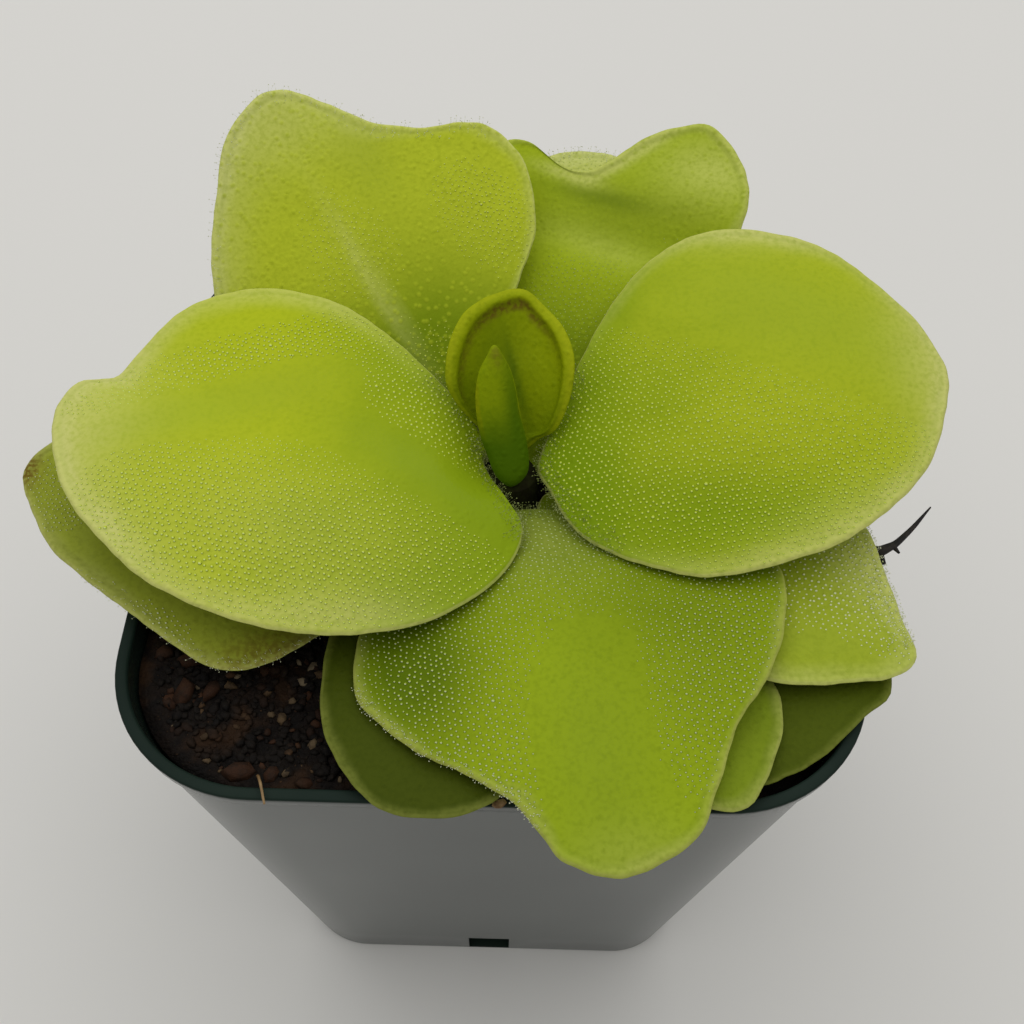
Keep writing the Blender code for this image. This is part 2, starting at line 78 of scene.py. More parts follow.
class Wire:
    """A node's output that Python's arithmetic works on: each operator adds its own Math node."""

    def __init__(self, tree, socket=None):
        self.tree, self.socket = tree, socket

    def node(self, kind, settings, inputs, output=0):
        """Adds a node, its settings first and then its sockets' values or links, and gives one output."""
        made = self.tree.nodes.new(kind)
        for name, value in settings.items():
            if name == "stops":
                while len(made.color_ramp.elements) < len(value):
                    made.color_ramp.elements.new(1)
                for stop, (place, colour) in zip(made.color_ramp.elements, value):
                    stop.position, stop.color = place, colour
            else:
                setattr(made, name, value)
        for name, value in inputs.items():
            if isinstance(value, Wire):
                self.tree.links.new(value.socket, made.inputs[name])
            else:
                made.inputs[name].default_value = value
        return Wire(self.tree, made.outputs[output])

    def maths(self, operation, first, second):
        """A Math node with its operation."""
        return self.node("ShaderNodeMath", {"operation": operation}, {0: first, 1: second})

    def __add__(self, other):
        return self.maths("ADD", self, other)

    def __sub__(self, other):
        return self.maths("SUBTRACT", self, other)

    def __rsub__(self, other):
        return self.maths("SUBTRACT", other, self)

    def __mul__(self, other):
        return self.maths("MULTIPLY", self, other)

    __radd__, __rmul__ = __add__, __mul__

    def place(self):
        """The place on the piece, in metres of the part's own frame."""
        return self.node("ShaderNodeTexCoord", {}, {}, "Object")

    def noise(self, scale, detail=2.0):
        """Smooth noise over the piece: about so many waves a metre, with finer ones laid over them."""
        return self.node("ShaderNodeTexNoise", {}, {"Vector": self.place(), "Scale": scale, "Detail": detail})

    def fade(self, low, high):
        """A soft step from 0 where the value is low to 1 where it is high."""
        return self.node("ShaderNodeMapRange", {"interpolation_type": "SMOOTHSTEP"},
                         {"Value": self, "From Min": low, "From Max": high})

    def value(self, label):
        """The piece's own value of that name, which its mesh holds at each point."""
        return self.node("ShaderNodeAttribute", {"attribute_name": label}, {}, "Fac")

    def tint(self, first, second):
        """A colour that goes from the first to the second as this value goes from 0 to 1."""
        return self.node("ShaderNodeMix", {"data_type": "RGBA"}, {0: self, 6: first, 7: second}, 2)


def new_finish(name, constants):
    """A new material with some of its shader's sockets set; gives it, all its sockets and a first wire."""
    made = bpy.data.materials.new(name)
    made.use_nodes = True
    shader = made.node_tree.nodes["Principled BSDF"]
    for socket, value in constants.items():
        shader.inputs[socket].default_value = value
    return made, shader.inputs, Wire(made.node_tree)


def connect(wire, socket):
    """Links a wire to one of the shader's sockets."""
    wire.tree.links.new(wire.socket, socket)


def emboss(height, strength, distance, sockets):
    """Bumps that follow a wire, as deep as the distance in metres where it goes from 0 to 1."""
    settings = {"Height": height, "Strength": strength, "Distance": distance}
    connect(height.node("ShaderNodeBump", {}, settings), sockets["Normal"])


def mottled(name, constants, scale, detail, spread, colours, bumps=None):
    """A finish between two colours over a spread of a noise's values, with bumps by that noise."""
    made, sockets, wire = new_finish(name, constants)
    blotch = wire.noise(scale, detail)
    connect(blotch.fade(*spread).tint(*colours), sockets["Base Color"])
    if bumps:
        emboss(blotch, *bumps, sockets)
    return made


def new_piece(name, points, faces, finish, slot, smooth=True, values=None):
    """A mesh object from points in metres, faces and one value a point for each named attribute."""
    mesh = bpy.data.meshes.new(name)
    mesh.from_pydata(points.tolist(), [], faces)
    for label, amounts in (values or {}).items():
        mesh.attributes.new(label, "FLOAT", "POINT").data.foreach_set("value", amounts.astype(np.float32))
    mesh.materials.append(finish)
    if smooth:
        mesh.shade_smooth()
    piece = bpy.data.objects.new(name, mesh)
    bpy.context.scene.collection.objects.link(piece)
    if slot:
        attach(piece, "root")
    return piece


board, sockets, wire = new_finish("pale_board", {"Roughness": 0.9})
grain = wire.noise(3.0, 3.0)
connect(grain.tint(FLOOR_COLOUR, tuple(0.96 * c for c in FLOOR_COLOUR[:3]) + (1,)), sockets["Base Color"])
corners = FLOOR_HALF * np.array([(-1, -1, 0), (1, -1, 0), (1, 1, 0), (-1, 1, 0)])
new_piece("floor", corners, [[0, 1, 2, 3]], board, None, smooth=False)


# The nursery pot: thin moulded plastic in dark green, with a lip round its rim, rounded corners and a
# drainage slot low in each wall, through which the dark mix shows.
POT_HEIGHT, POT_HALF, BASE_HALF, LIP_OUT = 0.082, 0.0376, 0.0285, 0.0004
RIM_CORNER, BASE_CORNER, CORNER_STEPS = 0.015, 0.010, 18
WALL, FLOOR, LIP_TALL = 0.0009, 0.0016, 0.0022
SLOT_HALF, SLOT_DEEP, SLOT_FOOT, SLOT_TOP = 0.0030, 0.002, 0.0010, 0.0085


def outer_half(height):
    """Half the pot's outer width at a height: its walls spread evenly from the base to the rim."""
    return BASE_HALF + (POT_HALF - BASE_HALF) * height / POT_HEIGHT


def rounded_square(half, corner, height, between):
    """Points round a square with rounded corners, anticlockwise, with some more between the corners."""
    turn = np.linspace(0, np.pi / 2, CORNER_STEPS + 1)
    quarter = (half - corner) * (1 + 1j) + corner * np.exp(1j * turn)
    side = quarter[-1] + (quarter[0] * 1j - quarter[-1]) * np.linspace(0, 1, between + 2)[1:-1]
    ring = np.concatenate([np.r_[quarter, side] * 1j**k for k in range(4)])
    return np.stack([ring.real, ring.imag, ring.real * 0 + height], axis=1)


def pot_ring(height, grow=0.0, between=8):
    corner = BASE_CORNER + (RIM_CORNER - BASE_CORNER) * height / POT_HEIGHT
    return rounded_square(outer_half(height) + grow, corner + grow, height, between)


def tube(rings):
    """A closed body through rings of points: its points, the quads between rings and two end faces."""
    count = len(rings[0])
    near = np.arange((len(rings) - 1) * count).reshape(-1, count)
    onward = np.roll(near, -1, axis=1)
    quads = np.stack([near, onward, onward + count, near + count], axis=-1).reshape(-1, 4)
    ends = [near[0, ::-1].tolist(), (near[-1] + count).tolist()]
    return np.concatenate(rings), quads.tolist() + ends


def about_z(degrees):
    """A turn about the upright axis, for points as rows."""
    cos, sin = np.cos(np.radians(degrees)), np.sin(np.radians(degrees))
    return np.array([[cos, sin, 0], [-sin, cos, 0], [0, 0, 1]])


def cut_slots(body):
    """Cuts the four drainage slots through the walls, just over their feet."""
    square = ((-1, -1), (1, -1), (1, 1), (-1, 1))
    corners = np.array([(x, y, z) for z in (SLOT_FOOT, SLOT_TOP) for x, y in square])
    corners = corners * (SLOT_DEEP, SLOT_HALF, 1) + (outer_half((SLOT_FOOT + SLOT_TOP) / 2), 0, 0)
    quarters = [corners @ about_z(turn) for turn in (0, 90, 180, 270)]
    sides = [[0, 3, 2, 1], [4, 5, 6, 7], [0, 1, 5, 4], [1, 2, 6, 5], [2, 3, 7, 6], [3, 0, 4, 7]]
    faces = [[k + 8 * quarter for k in side] for quarter in range(4) for side in sides]
    cutter = new_piece("slots", np.concatenate(quarters), faces, body.data.materials[0], None, smooth=False)
    cut = body.modifiers.new("slots", "BOOLEAN")
    cut.operation, cut.object, cut.solver = "DIFFERENCE", cutter, "EXACT"
    opened = bpy.data.meshes.new_from_object(body.evaluated_get(bpy.context.evaluated_depsgraph_get()))
    body.modifiers.remove(cut)
    body.data = opened
    bpy.data.objects.remove(cutter)


PLASTIC = {"Roughness": 0.6, "Specular IOR Level": 0.12, "Coat IOR": 1.62, "Coat Roughness": 0.27}
PLASTIC_GREENS = (0.008, 0.018, 0.013, 1), (0.013, 0.025, 0.018, 1)
SATIN_FROM, SATIN_FULL, SLOT_BLUR = 0.0819, 0.0816, 0.0001

plastic, sockets, wire = new_finish("pot_plastic", PLASTIC)
scuff = wire.noise(55.0, 4.0)
grain = wire.noise(2200.0, 1.0)
connect(scuff.fade(0.3, 0.7).tint(*PLASTIC_GREENS), sockets["Base Color"])
x, y, height = (wire.node("ShaderNodeSeparateXYZ", {}, {"Vector": wire.place()}, axis) for axis in "XYZ")
x, y = x.maths("ABSOLUTE", x, 0), y.maths("ABSOLUTE", y, 0)
inwards = BASE_HALF + (POT_HALF - BASE_HALF) / POT_HEIGHT * height - x.maths("MAXIMUM", x, y)
beside = x.maths("MINIMUM", x, y).fade(SLOT_HALF + 2 * SLOT_BLUR, SLOT_HALF + SLOT_BLUR)
below = height.fade(SLOT_TOP + 2 * SLOT_BLUR, SLOT_TOP + SLOT_BLUR)
satin = height.fade(SATIN_FROM, SATIN_FULL) * (0.92 + 0.08 * scuff)
# The coat is left off the slots' cut faces so they show dark, standing in for the shade in the holes: painted
# shade.
connect(satin * (1 - inwards.fade(SLOT_BLUR, 3 * SLOT_BLUR) * beside * below), sockets["Coat Weight"])
emboss(grain, 0.12, 0.0001, sockets)
under_lip = POT_HEIGHT - LIP_TALL
curl = np.radians([15, 35, 55, 75])
bend, edge = 0.0002, 0.00035
profile = [(0, -0.0007), (0.0001, -0.0003), (0.0004, -0.0001), (0.0007, 0), (0.01, 0), (0.03, 0), (0.05, 0),
           (0.07, 0), (under_lip, 0), (under_lip + 0.00012, LIP_OUT - bend), (under_lip + edge, LIP_OUT)]
profile += [(POT_HEIGHT - edge + edge * np.sin(a), LIP_OUT - edge + edge * np.cos(a)) for a in curl]
profile += [(POT_HEIGHT - edge + edge * np.sin(a), edge - WALL - edge * np.cos(a)) for a in curl[::-1]]
profile += [(POT_HEIGHT - edge, -WALL), (0.05, -WALL), (FLOOR, -WALL)]
pot = new_piece("nursery_pot", *tube([pot_ring(height, grow) for height, grow in profile]), plastic, "pot")
cut_slots(pot)
pot.data.set_sharp_from_angle(angle=np.radians(50))
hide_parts("pot")


# The potting mix: moist peat, nearly black, that fills the pot to under its rim. Its rough surface falls to
# the right and rises a little to the crown, and it has a plain hole for the rootstock.
CROWN = np.array([0.0015, -0.002, POT_HEIGHT])
SOIL_LEVEL, SOIL_FALL, SOIL_LUMP, SOIL_GAP = 0.0778, 0.05, 0.0008, 0.0003
MOUND_TALL, MOUND_WIDE, FINE_LUMP = 0.0012, 0.014, 0.00014
HOLE_RADIUS, HOLE_DEPTH, SOIL_RINGS = 0.0032, 0.0146, 70


def soil_height(x, y):
    """The mix's surface: a slope, a mound round the crown that dies away as exp(-r^2), and waves."""
    mound = MOUND_TALL * np.exp(-((x - CROWN[0])**2 + (y - CROWN[1])**2) / MOUND_WIDE**2)
    rough = (np.sin(410 * x + 1.3 * np.sin(530 * y)) + np.sin(470 * y + 0.7 + np.sin(390 * x))
             + 0.7 * np.sin(900 * (x + y)) * np.cos(830 * (x - y)))
    return SOIL_LEVEL - SOIL_FALL * x + mound + SOIL_LUMP * rough / 2.7


def soil_surface():
    """Rings from the pot's wall to the hole, on that surface, with finer waves laid over it."""
    inset = WALL + SOIL_GAP
    outline = pot_ring(SOIL_LEVEL, -inset, between=24)[:, :2]
    outline *= ((outer_half(soil_height(*outline.T)) - inset) / (outer_half(SOIL_LEVEL) - inset))[:, None]
    turn = np.arctan2(outline[:, 1], outline[:, 0])
    hole = HOLE_RADIUS * np.stack([np.cos(turn), np.sin(turn)], axis=1) + CROWN[:2]
    share = np.linspace(0, 1, SOIL_RINGS)[:, None, None]**0.8
    x, y = np.moveaxis(outline + (hole - outline) * share, -1, 0)
    fine = np.sin(2900 * x + 2 * np.sin(2100 * y)) * np.sin(3100 * y + 1.7 * np.sin(2500 * x))
    fine = fine * FINE_LUMP * np.sin(np.pi * share[..., 0])**0.3
    top = np.stack([x, y, soil_height(x, y) + fine], axis=-1)
    deep = np.column_stack([hole, np.full(len(hole), POT_HEIGHT - HOLE_DEPTH)])
    return [pot_ring(FLOOR + SOIL_GAP, -inset, between=24), *top, deep]


PEAT_BROWNS = (0.003, 0.002, 0.0015, 1), (0.010, 0.0055, 0.0032, 1)
PEAT_RUST, PEAT_FIBRE = (0.028, 0.013, 0.005, 1), (0.06, 0.032, 0.014, 1)
RUST_SCALE, RUST_DETAIL, RUST_SPREAD = 150.0, 4.0, (0.54, 0.68)

peat, sockets, wire = new_finish("moist_peat", {"Specular IOR Level": 0.15})
clods = wire.noise(420.0, 5.0)
fibre = wire.noise(2600.0, 3.0)
rust = wire.noise(RUST_SCALE, RUST_DETAIL).fade(*RUST_SPREAD)
tone = rust.tint(clods.fade(0.35, 0.7).tint(*PEAT_BROWNS), PEAT_RUST)
connect(fibre.fade(0.68, 0.76).tint(tone, PEAT_FIBRE), sockets["Base Color"])
connect(0.55 + 0.4 * fibre, sockets["Roughness"])
emboss(clods + 0.5 * fibre, 0.9, 0.0006, sockets)
mix = new_piece("potting_mix", *tube(soil_surface()), peat, "mix")
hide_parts("soil")


# Crumbs of the mix: dark peat with some reddish bark, tan fibre and pale grit, strewn on the surface and
# half sunk in it. The named chips and grains are the ones that show in front.
CHIPS = [
    (-24.2, -34, 3.6, 2.4, 5), (-21.2, -34, 2.2, 1.6, 60), (-31, -26, 3.4, 2.6, 80), (-28.4, -25.4, 3, 2, 70),
    (-34, -21.5, 2.4, 1.8, 40), (-31, -22, 3, 2.2, 10), (-17.8, -35, 2, 1.4, 0),
]
GRAINS = [
    (-20.2, -26.2, 1.1, 1, 0), (-22.1, -27.8, 0.9, 0.8, 0), (-28.2, -30.7, 1, 0.9, 0),
    (-27.7, -33, 1, 0.8, 0), (-17.6, -30.6, 1.6, 1.2, 80), (-25.3, -29.3, 1, 0.8, 0),
]
CHIP_TONE, GRAIN_TONE = 0.88, 0.975
FRONT_CRUMBS, OTHER_CRUMBS = 1500, 1300
FRONT_PATCH, WHOLE_PATCH = ((-36.5, -36.5), (-8, -12)), (-37, 37)
MIX_HALF, CORNER_CENTRE, CORNER_REACH = 35.4, 22, 13.4
KEPT_CLEAR = [(1.5, -2, 5), (-22.2, -35, 1.7), (33.5, -6.3, 2.4)]
BALL_SIDES, BALL_RINGS = 6, np.radians([48, 100])


def unit_ball():
    """A small ball: a point on top, rings at the polar angles and a point below, with its triangles."""
    turn = np.arange(BALL_SIDES) * 2 * np.pi / BALL_SIDES
    rings = [np.stack([np.sin(polar) * np.cos(turn), np.sin(polar) * np.sin(turn), np.cos(polar) + 0 * turn],
                      axis=1) for polar in BALL_RINGS]
    here, onward = np.arange(BALL_SIDES), np.roll(np.arange(BALL_SIDES), -1)
    top, bottom = len(rings) * BALL_SIDES, len(rings) * BALL_SIDES + 1
    faces = [np.stack([top + 0 * here, here, onward], axis=1)]
    for k in range(len(rings) - 1):
        a, b = here + k * BALL_SIDES, onward + k * BALL_SIDES
        faces.append(np.stack([a, a + BALL_SIDES, b + BALL_SIDES], axis=1))
        faces.append(np.stack([a, b + BALL_SIDES, b], axis=1))
    last = (len(rings) - 1) * BALL_SIDES
    faces.append(np.stack([last + onward, last + here, bottom + 0 * here], axis=1))
    return np.vstack([*rings, [[0, 0, 1], [0, 0, -1]]]), np.concatenate(faces)


def unit(vectors):
    """The vectors in the last axis, each brought to a length of one."""
    return vectors / np.linalg.norm(vectors, axis=-1, keepdims=True)


def add_many(name, shapes, shape_faces, finish, slot, values):
    """Many copies of one small shape as one piece: rows of the copies' points, and one copy's faces."""
    faces = shape_faces + shapes.shape[1] * np.arange(len(shapes))[:, None, None]
    new_piece(name, shapes.reshape(-1, 3), faces.reshape(-1, 3).tolist(), finish, slot, values=values)


def crumb_places():
    """Rows of x, y, length, width and turn in metres and radians, and tones from 0 (peat) to 1 (pale)."""
    random = np.random.default_rng(11)
    front = random.uniform(*FRONT_PATCH, (FRONT_CRUMBS, 2))
    others = random.uniform(*WHOLE_PATCH, (OTHER_CRUMBS, 2))
    x, y = np.concatenate([front, others]).T
    length = random.uniform(0.35, 1.0, x.size)**1.5 * 1.7
    keep = np.maximum(np.abs(x), np.abs(y)) < MIX_HALF - length
    past_x, past_y = (np.maximum(np.abs(side) - CORNER_CENTRE, 0) for side in (x, y))
    keep &= np.hypot(past_x, past_y) < CORNER_REACH - length
    for clear_x, clear_y, radius in KEPT_CLEAR:
        keep &= np.hypot(x - clear_x, y - clear_y) > radius
    loose = np.stack([x, y, length, 0.7 * length, random.uniform(0, 360, x.size)], axis=1)[keep]
    tones = random.uniform(0, 1, len(loose))
    named = np.array(CHIPS + GRAINS, float)
    tones = np.concatenate([tones, np.full(len(CHIPS), CHIP_TONE), np.full(len(GRAINS), GRAIN_TONE)])
    return np.concatenate([loose, named]) * (0.001, 0.001, 0.001, 0.001, np.pi / 180), tones


def crumb_points(ball):
    """The crumbs' points: each a ball roughened at random, flattened, tipped, turned and sunk in."""
    random = np.random.default_rng(12)
    rows, tones = crumb_places()
    x, y, length, width, turn = rows.T
    rough = 1 + random.uniform(-0.25, 0.25, (len(rows), len(ball), 1))
    shape = ball * rough * np.stack([length, width, 0.6 * width], axis=1)[:, None] / 2
    tip = random.normal(0, 0.22, (len(rows), 2))
    up = unit(np.stack([tip[:, 0], tip[:, 1], np.ones(len(rows))], axis=1))
    ahead = np.stack([np.cos(turn), np.sin(turn), 0 * turn], axis=1)
    ahead = unit(ahead - up * (ahead * up).sum(axis=1, keepdims=True))
    frames = np.stack([ahead, np.cross(up, ahead), up], axis=1)
    centre = np.stack([x, y, soil_height(x, y) + 0.05 * length], axis=1)
    return centre[:, None] + shape @ frames, np.repeat(tones, len(ball))


CRUMB_TONES = [
    (0.0, (0.003, 0.002, 0.0015, 1)), (0.74, (0.0065, 0.004, 0.0025, 1)), (0.84, (0.022, 0.009, 0.004, 1)),
    (0.93, (0.055, 0.022, 0.009, 1)), (0.97, (0.09, 0.055, 0.025, 1)), (1.0, (0.27, 0.22, 0.14, 1)),
]
CRUMB_DUST, CRUMB_RUST = (0.012, 0.008, 0.005, 1), (0.032, 0.015, 0.006, 1)

loose_mix, sockets, wire = new_finish("crumbs", {"Roughness": 0.8, "Specular IOR Level": 0.2})
blotch = wire.noise(1300.0, 3.0)
colour = wire.node("ShaderNodeValToRGB", {"stops": CRUMB_TONES}, {"Fac": wire.value("tone")}, "Color")
colour = (blotch.fade(0.4, 0.7) * 0.6).tint(colour, CRUMB_DUST)
rust = wire.noise(RUST_SCALE, RUST_DETAIL).fade(*RUST_SPREAD)
connect((rust * 0.8).tint(colour, CRUMB_RUST), sockets["Base Color"])
emboss(blotch, 0.8, 0.0003, sockets)
ball, ball_faces = unit_ball()
crumbs, tones = crumb_points(ball)
add_many("mix_crumbs", crumbs, ball_faces, loose_mix, "mix", {"tone": tones})


# The crown: a short stem that carries the leaves, on its rootstock and roots. Only its top shows between the
# leaf bases, and its near-black greens there are painted shade of the deep gap.
STEM_GREENS, STEM_FOOT = ((0.008, 0.007, 0.002, 1), (0.022, 0.026, 0.004, 1)), (0.03, 0.02, 0.01, 1)
STEM_BARE_TO, STEM_GREEN_FROM = 0.078, 0.083

stem, sockets, wire = new_finish("crown_stem", {"Roughness": 0.9, "Specular IOR Level": 0.1})
height = wire.node("ShaderNodeSeparateXYZ", {}, {"Vector": wire.place()}, "Z")
blotch = wire.noise(500.0, 3.0)
green = blotch.fade(0.3, 0.7).tint(*STEM_GREENS)
connect(height.fade(STEM_BARE_TO, STEM_GREEN_FROM).tint(STEM_FOOT, green), sockets["Base Color"])
bpy.data.objects["crown"].material_slots[0].material = stem


# The large left leaf, the plant's brightest: a fleshy blade with a thick pale margin. Its upper face
# carries beads of mucilage on short stalks, which run together into a clear film along the middle.
LEAF_FOOT = (3.5, 0)
SPINE_START, SPINE_END = 0.12, 0.78
LOOP_STEPS = 24
RIPPLE, UNEVEN = 0.035, 0.07
MARGIN_REACH = 0.2
BLADE_THICK, MARGIN_THICK, MARGIN_ROUND = 1.0, 0.7, 0.1
# The direction away from the lamp, where the beads' painted caustic is brightest.
AWAY_FROM_LIGHT = np.array([-0.22, -0.93, 0.30])
BEAD_FLAT, BEAD_LIFT, FILM_CLEARS = 0.5, 0.05, 1.3
BEAD_EDGE, BIG_BEADS, BIG_BEAD = 0.4, 0.985, 1.4
BLADE_GRID = 110, 26
# Patches on the leaves: film, beads, pale (partly the leaf's paler colour, partly painted light), deep
# (painted shade) and brown.
PATCHES = "film", "dew", "pale", "deep", "brown"
MARGIN_LINE, MARGIN_GROOVE = (0.05, 0.4, 0.3), (-0.04, 1.1, 0.45)
ROLL_PLACE, ROLL_WIDE, EDGE_DROP, EDGE_WIDE = 0.55, 0.5, 0.16, 0.12
UNDERCUT, UNDERCUT_WIDE, RINGS_CROWD = 0.9, 0.5, 1.9
EDGE_TURNS = np.radians([40, 90, 140])[:, None, None, None]


def hump(patch, x, y):
    """A smooth patch: its strength times exp(-r^2), with r counted in its own half sizes, turned."""
    place_x, place_y, half_length, half_width, turn, strength = patch
    cos, sin = np.cos(np.radians(turn)), np.sin(np.radians(turn))
    along = ((x - place_x) * cos + (y - place_y) * sin) / half_length
    aside = ((y - place_y) * cos - (x - place_x) * sin) / half_width
    return strength * np.exp(-along**2 - aside**2)


def leaf_height(leaf, x, y):
    """Height over the rim in millimetres: base + rise x + bend x^2 + tilt y + left or right y^2, the
    swells, and sine waves too low to see but by their shading."""
    bend, tilt, left, right = (leaf.get(key, 0) for key in ("bend", "tilt", "left", "right"))
    level = leaf["base"] + leaf["rise"] * x + bend * x**2 + tilt * y + np.where(y > 0, left, right) * y**2
    uneven = np.sin(0.62 * x + 1.4 * np.sin(0.41 * y)) * np.cos(0.57 * y + leaf["heading"])
    level = level + sum(hump(swell, x, y) for swell in leaf.get("swells", []))
    return level + UNEVEN * uneven * np.clip(x / 12, 0, 1)


def leaf_normal(leaf, x, y):
    """The upward unit normal of the leaf's form, from its slopes along x and y."""
    step = 0.05
    slope_x = (leaf_height(leaf, x + step, y) - leaf_height(leaf, x - step, y)) / (2 * step)
    slope_y = (leaf_height(leaf, x, y + step) - leaf_height(leaf, x, y - step)) / (2 * step)
    return unit(np.stack([-slope_x, -slope_y, np.ones_like(slope_x)], axis=-1))


def leaf_outline(leaf):
    """The closed margin through the leaf's outline points, each passed level with the line between its
    neighbours, rippled by two sine waves of the distance along it, and the number of the tip's point."""
    foot = leaf.get("foot", LEAF_FOOT)
    here = np.array([foot, *leaf["right_margin"], leaf["tip"], *leaf["left_margin"]], float)
    before, after, beyond = (np.roll(here, shift, axis=0) for shift in (1, -1, -2))
    t = np.linspace(0, 1, LOOP_STEPS, endpoint=False)[:, None, None]
    curve = 0.5 * (2 * here + (after - before) * t + (2 * before - 5 * here + 4 * after - beyond) * t**2
                   + (3 * here - before - 3 * after + beyond) * t**3)
    loop = curve.transpose(1, 0, 2).reshape(-1, 2)
    along = np.cumsum(np.linalg.norm(loop - np.roll(loop, 1, axis=0), axis=1))
    ahead = np.roll(loop, -1, axis=0) - np.roll(loop, 1, axis=0)
    aside = np.stack([ahead[:, 1], -ahead[:, 0]], axis=1) / np.linalg.norm(ahead, axis=1, keepdims=True)
    ripple = np.sin(1.9 * along + 2 * np.sin(0.31 * along)) + 0.7 * np.sin(0.83 * along + leaf["heading"])
    ripple *= RIPPLE * leaf.get("ripple", 1) * np.clip(loop[:, 0] / 12, 0, 1)
    loop += aside * (MARGIN_REACH + ripple)[:, None]
    return loop, LOOP_STEPS * (len(leaf["right_margin"]) + 1)


def even_points(line, count):
    """Points at even distances along a line of points, with both its ends."""
    lengths = np.r_[0, np.cumsum(np.linalg.norm(np.diff(line, axis=0), axis=1))]
    places = np.linspace(0, lengths[-1], count)
    return np.stack([np.interp(places, lengths, line[:, k]) for k in (0, 1)], axis=1)


def half_thick(inwards):
    """Half the blade's thickness at a distance in from its margin."""
    return (BLADE_THICK + (MARGIN_THICK - BLADE_THICK) * np.exp(-inwards / 3)) / 2


def margin_roll(inwards, rolled=0.0):
    """The low roll along the margin, the groove inside it and a rolled leaf's thick roll, each a wave with
    its height, place and width, and the drop at the very edge."""
    waves = [MARGIN_LINE, MARGIN_GROOVE, (rolled, ROLL_PLACE, ROLL_WIDE)]
    roll = sum(tall * np.exp(-((inwards - place) / wide)**2) for tall, place, wide in waves)
    return roll - EDGE_DROP * np.exp(-inwards / EDGE_WIDE)


def turned(leaf, points):
    """Leaf-local directions, x out from the crown, turned to the part's frame."""
    return points @ about_z(leaf["heading"])


def to_world(leaf, points):
    """Leaf-local millimetres to the part's frame in metres."""
    return 0.001 * turned(leaf, points) + CROWN


def add_blade(name, node, leaf, finish, stations, rings):
    """The blade as a grid: lines like veins run from the midrib to the margin on both sides, over the upper
    face, round the margin and back under it, and meet on the midrib, at the foot and at the tip."""
    loop, turn = leaf_outline(leaf)
    foot, tip = np.array(leaf.get("foot", LEAF_FOOT)), np.array(leaf["tip"])
    right = even_points(loop[:turn + 1], stations + 1)
    left = even_points(np.vstack([loop[turn:], loop[:1]])[::-1], stations + 1)
    margin = np.stack([right, left], axis=1)
    along = (1 - np.cos(np.linspace(0, np.pi, stations + 1))) / 2
    start, end = foot + (tip - foot) * SPINE_START, foot + (tip - foot) * SPINE_END
    spine = (start + (end - start) * along[:, None])[:, None]
    share = (1 - (1 - np.linspace(0, 1, rings + 1))**RINGS_CROWD)[:, None, None, None]
    flat = spine + (margin - spine) * share
    inwards = np.linalg.norm(margin - spine, axis=-1) * (1 - share[..., 0])
    x, y = flat[..., 0], flat[..., 1]
    middle = np.stack([x, y, leaf_height(leaf, x, y)], axis=-1)
    normal = leaf_normal(leaf, x, y)
    full = leaf.get("thick", BLADE_THICK)
    half = (full + (MARGIN_THICK - full) * share**2) / 2
    upper = middle + normal * (half + margin_roll(inwards, leaf.get("rolled", 0))[..., None])
    lower = middle - normal * half * (1 - UNDERCUT * np.exp(-inwards[..., None] / UNDERCUT_WIDE))
    outward = middle[-1] - middle[-2]
    outward = unit(outward - normal[-1] * (outward * normal[-1]).sum(axis=-1, keepdims=True))
    top, bottom = (rows[-1] for rows in (upper, lower))
    edge = ((top + bottom) / 2 + outward * MARGIN_ROUND * np.sin(EDGE_TURNS)
            + (top - bottom) / 2 * np.cos(EDGE_TURNS))
    rows = np.concatenate([upper, edge, lower[::-1]])
    index = np.arange(rows[..., 0].size).reshape(rows.shape[:3])
    for seam in (np.s_[0], np.s_[-1], np.s_[:, 0], np.s_[:, -1]):
        index[seam][..., 1] = index[seam][..., 0]
    near, far = index[:-1], index[1:]
    sides = [np.stack([near[:, :-1, 0], far[:, :-1, 0], far[:, 1:, 0], near[:, 1:, 0]], axis=-1),
             np.stack([near[:, :-1, 1], near[:, 1:, 1], far[:, 1:, 1], far[:, :-1, 1]], axis=-1)]
    faces = np.concatenate([side.reshape(-1, 4) for side in sides])
    used = np.unique(faces)
    rest = np.zeros_like(inwards[:3])
    values = {
        "inwards": np.concatenate([inwards, rest, inwards[::-1]]),
        "outwards": np.concatenate([x, x[-1] + rest, x[::-1]]) / np.abs(x).max(),
        "under": np.concatenate([0 * x, 0.5 + rest, 1 + 0 * x]),
    }
    for patches in PATCHES:
        values[patches] = np.concatenate([field(leaf, patches, x, y), rest, 0 * x])
    values = {label: amounts.reshape(-1)[used] for label, amounts in values.items()}
    points = to_world(leaf, rows.reshape(-1, 3)[used])
    piece = new_piece(name, points, np.searchsorted(used, faces).tolist(), finish, "leaf", values=values)
    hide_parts(node)


def field(leaf, patches, x, y):
    """The sum of the leaf's patches of one kind, kept between 0 and 1."""
    return np.clip(sum((hump(patch, x, y) for patch in leaf.get(patches, [])), np.zeros_like(x)), 0, 1)


def on_leaf(leaf, x, y, inwards):
    """Points on the leaf's upper face and the face's normals there."""
    normal = leaf_normal(leaf, x, y)
    lift = half_thick(inwards) + margin_roll(inwards)
    return np.stack([x, y, leaf_height(leaf, x, y)], axis=-1) + normal * lift[:, None], normal


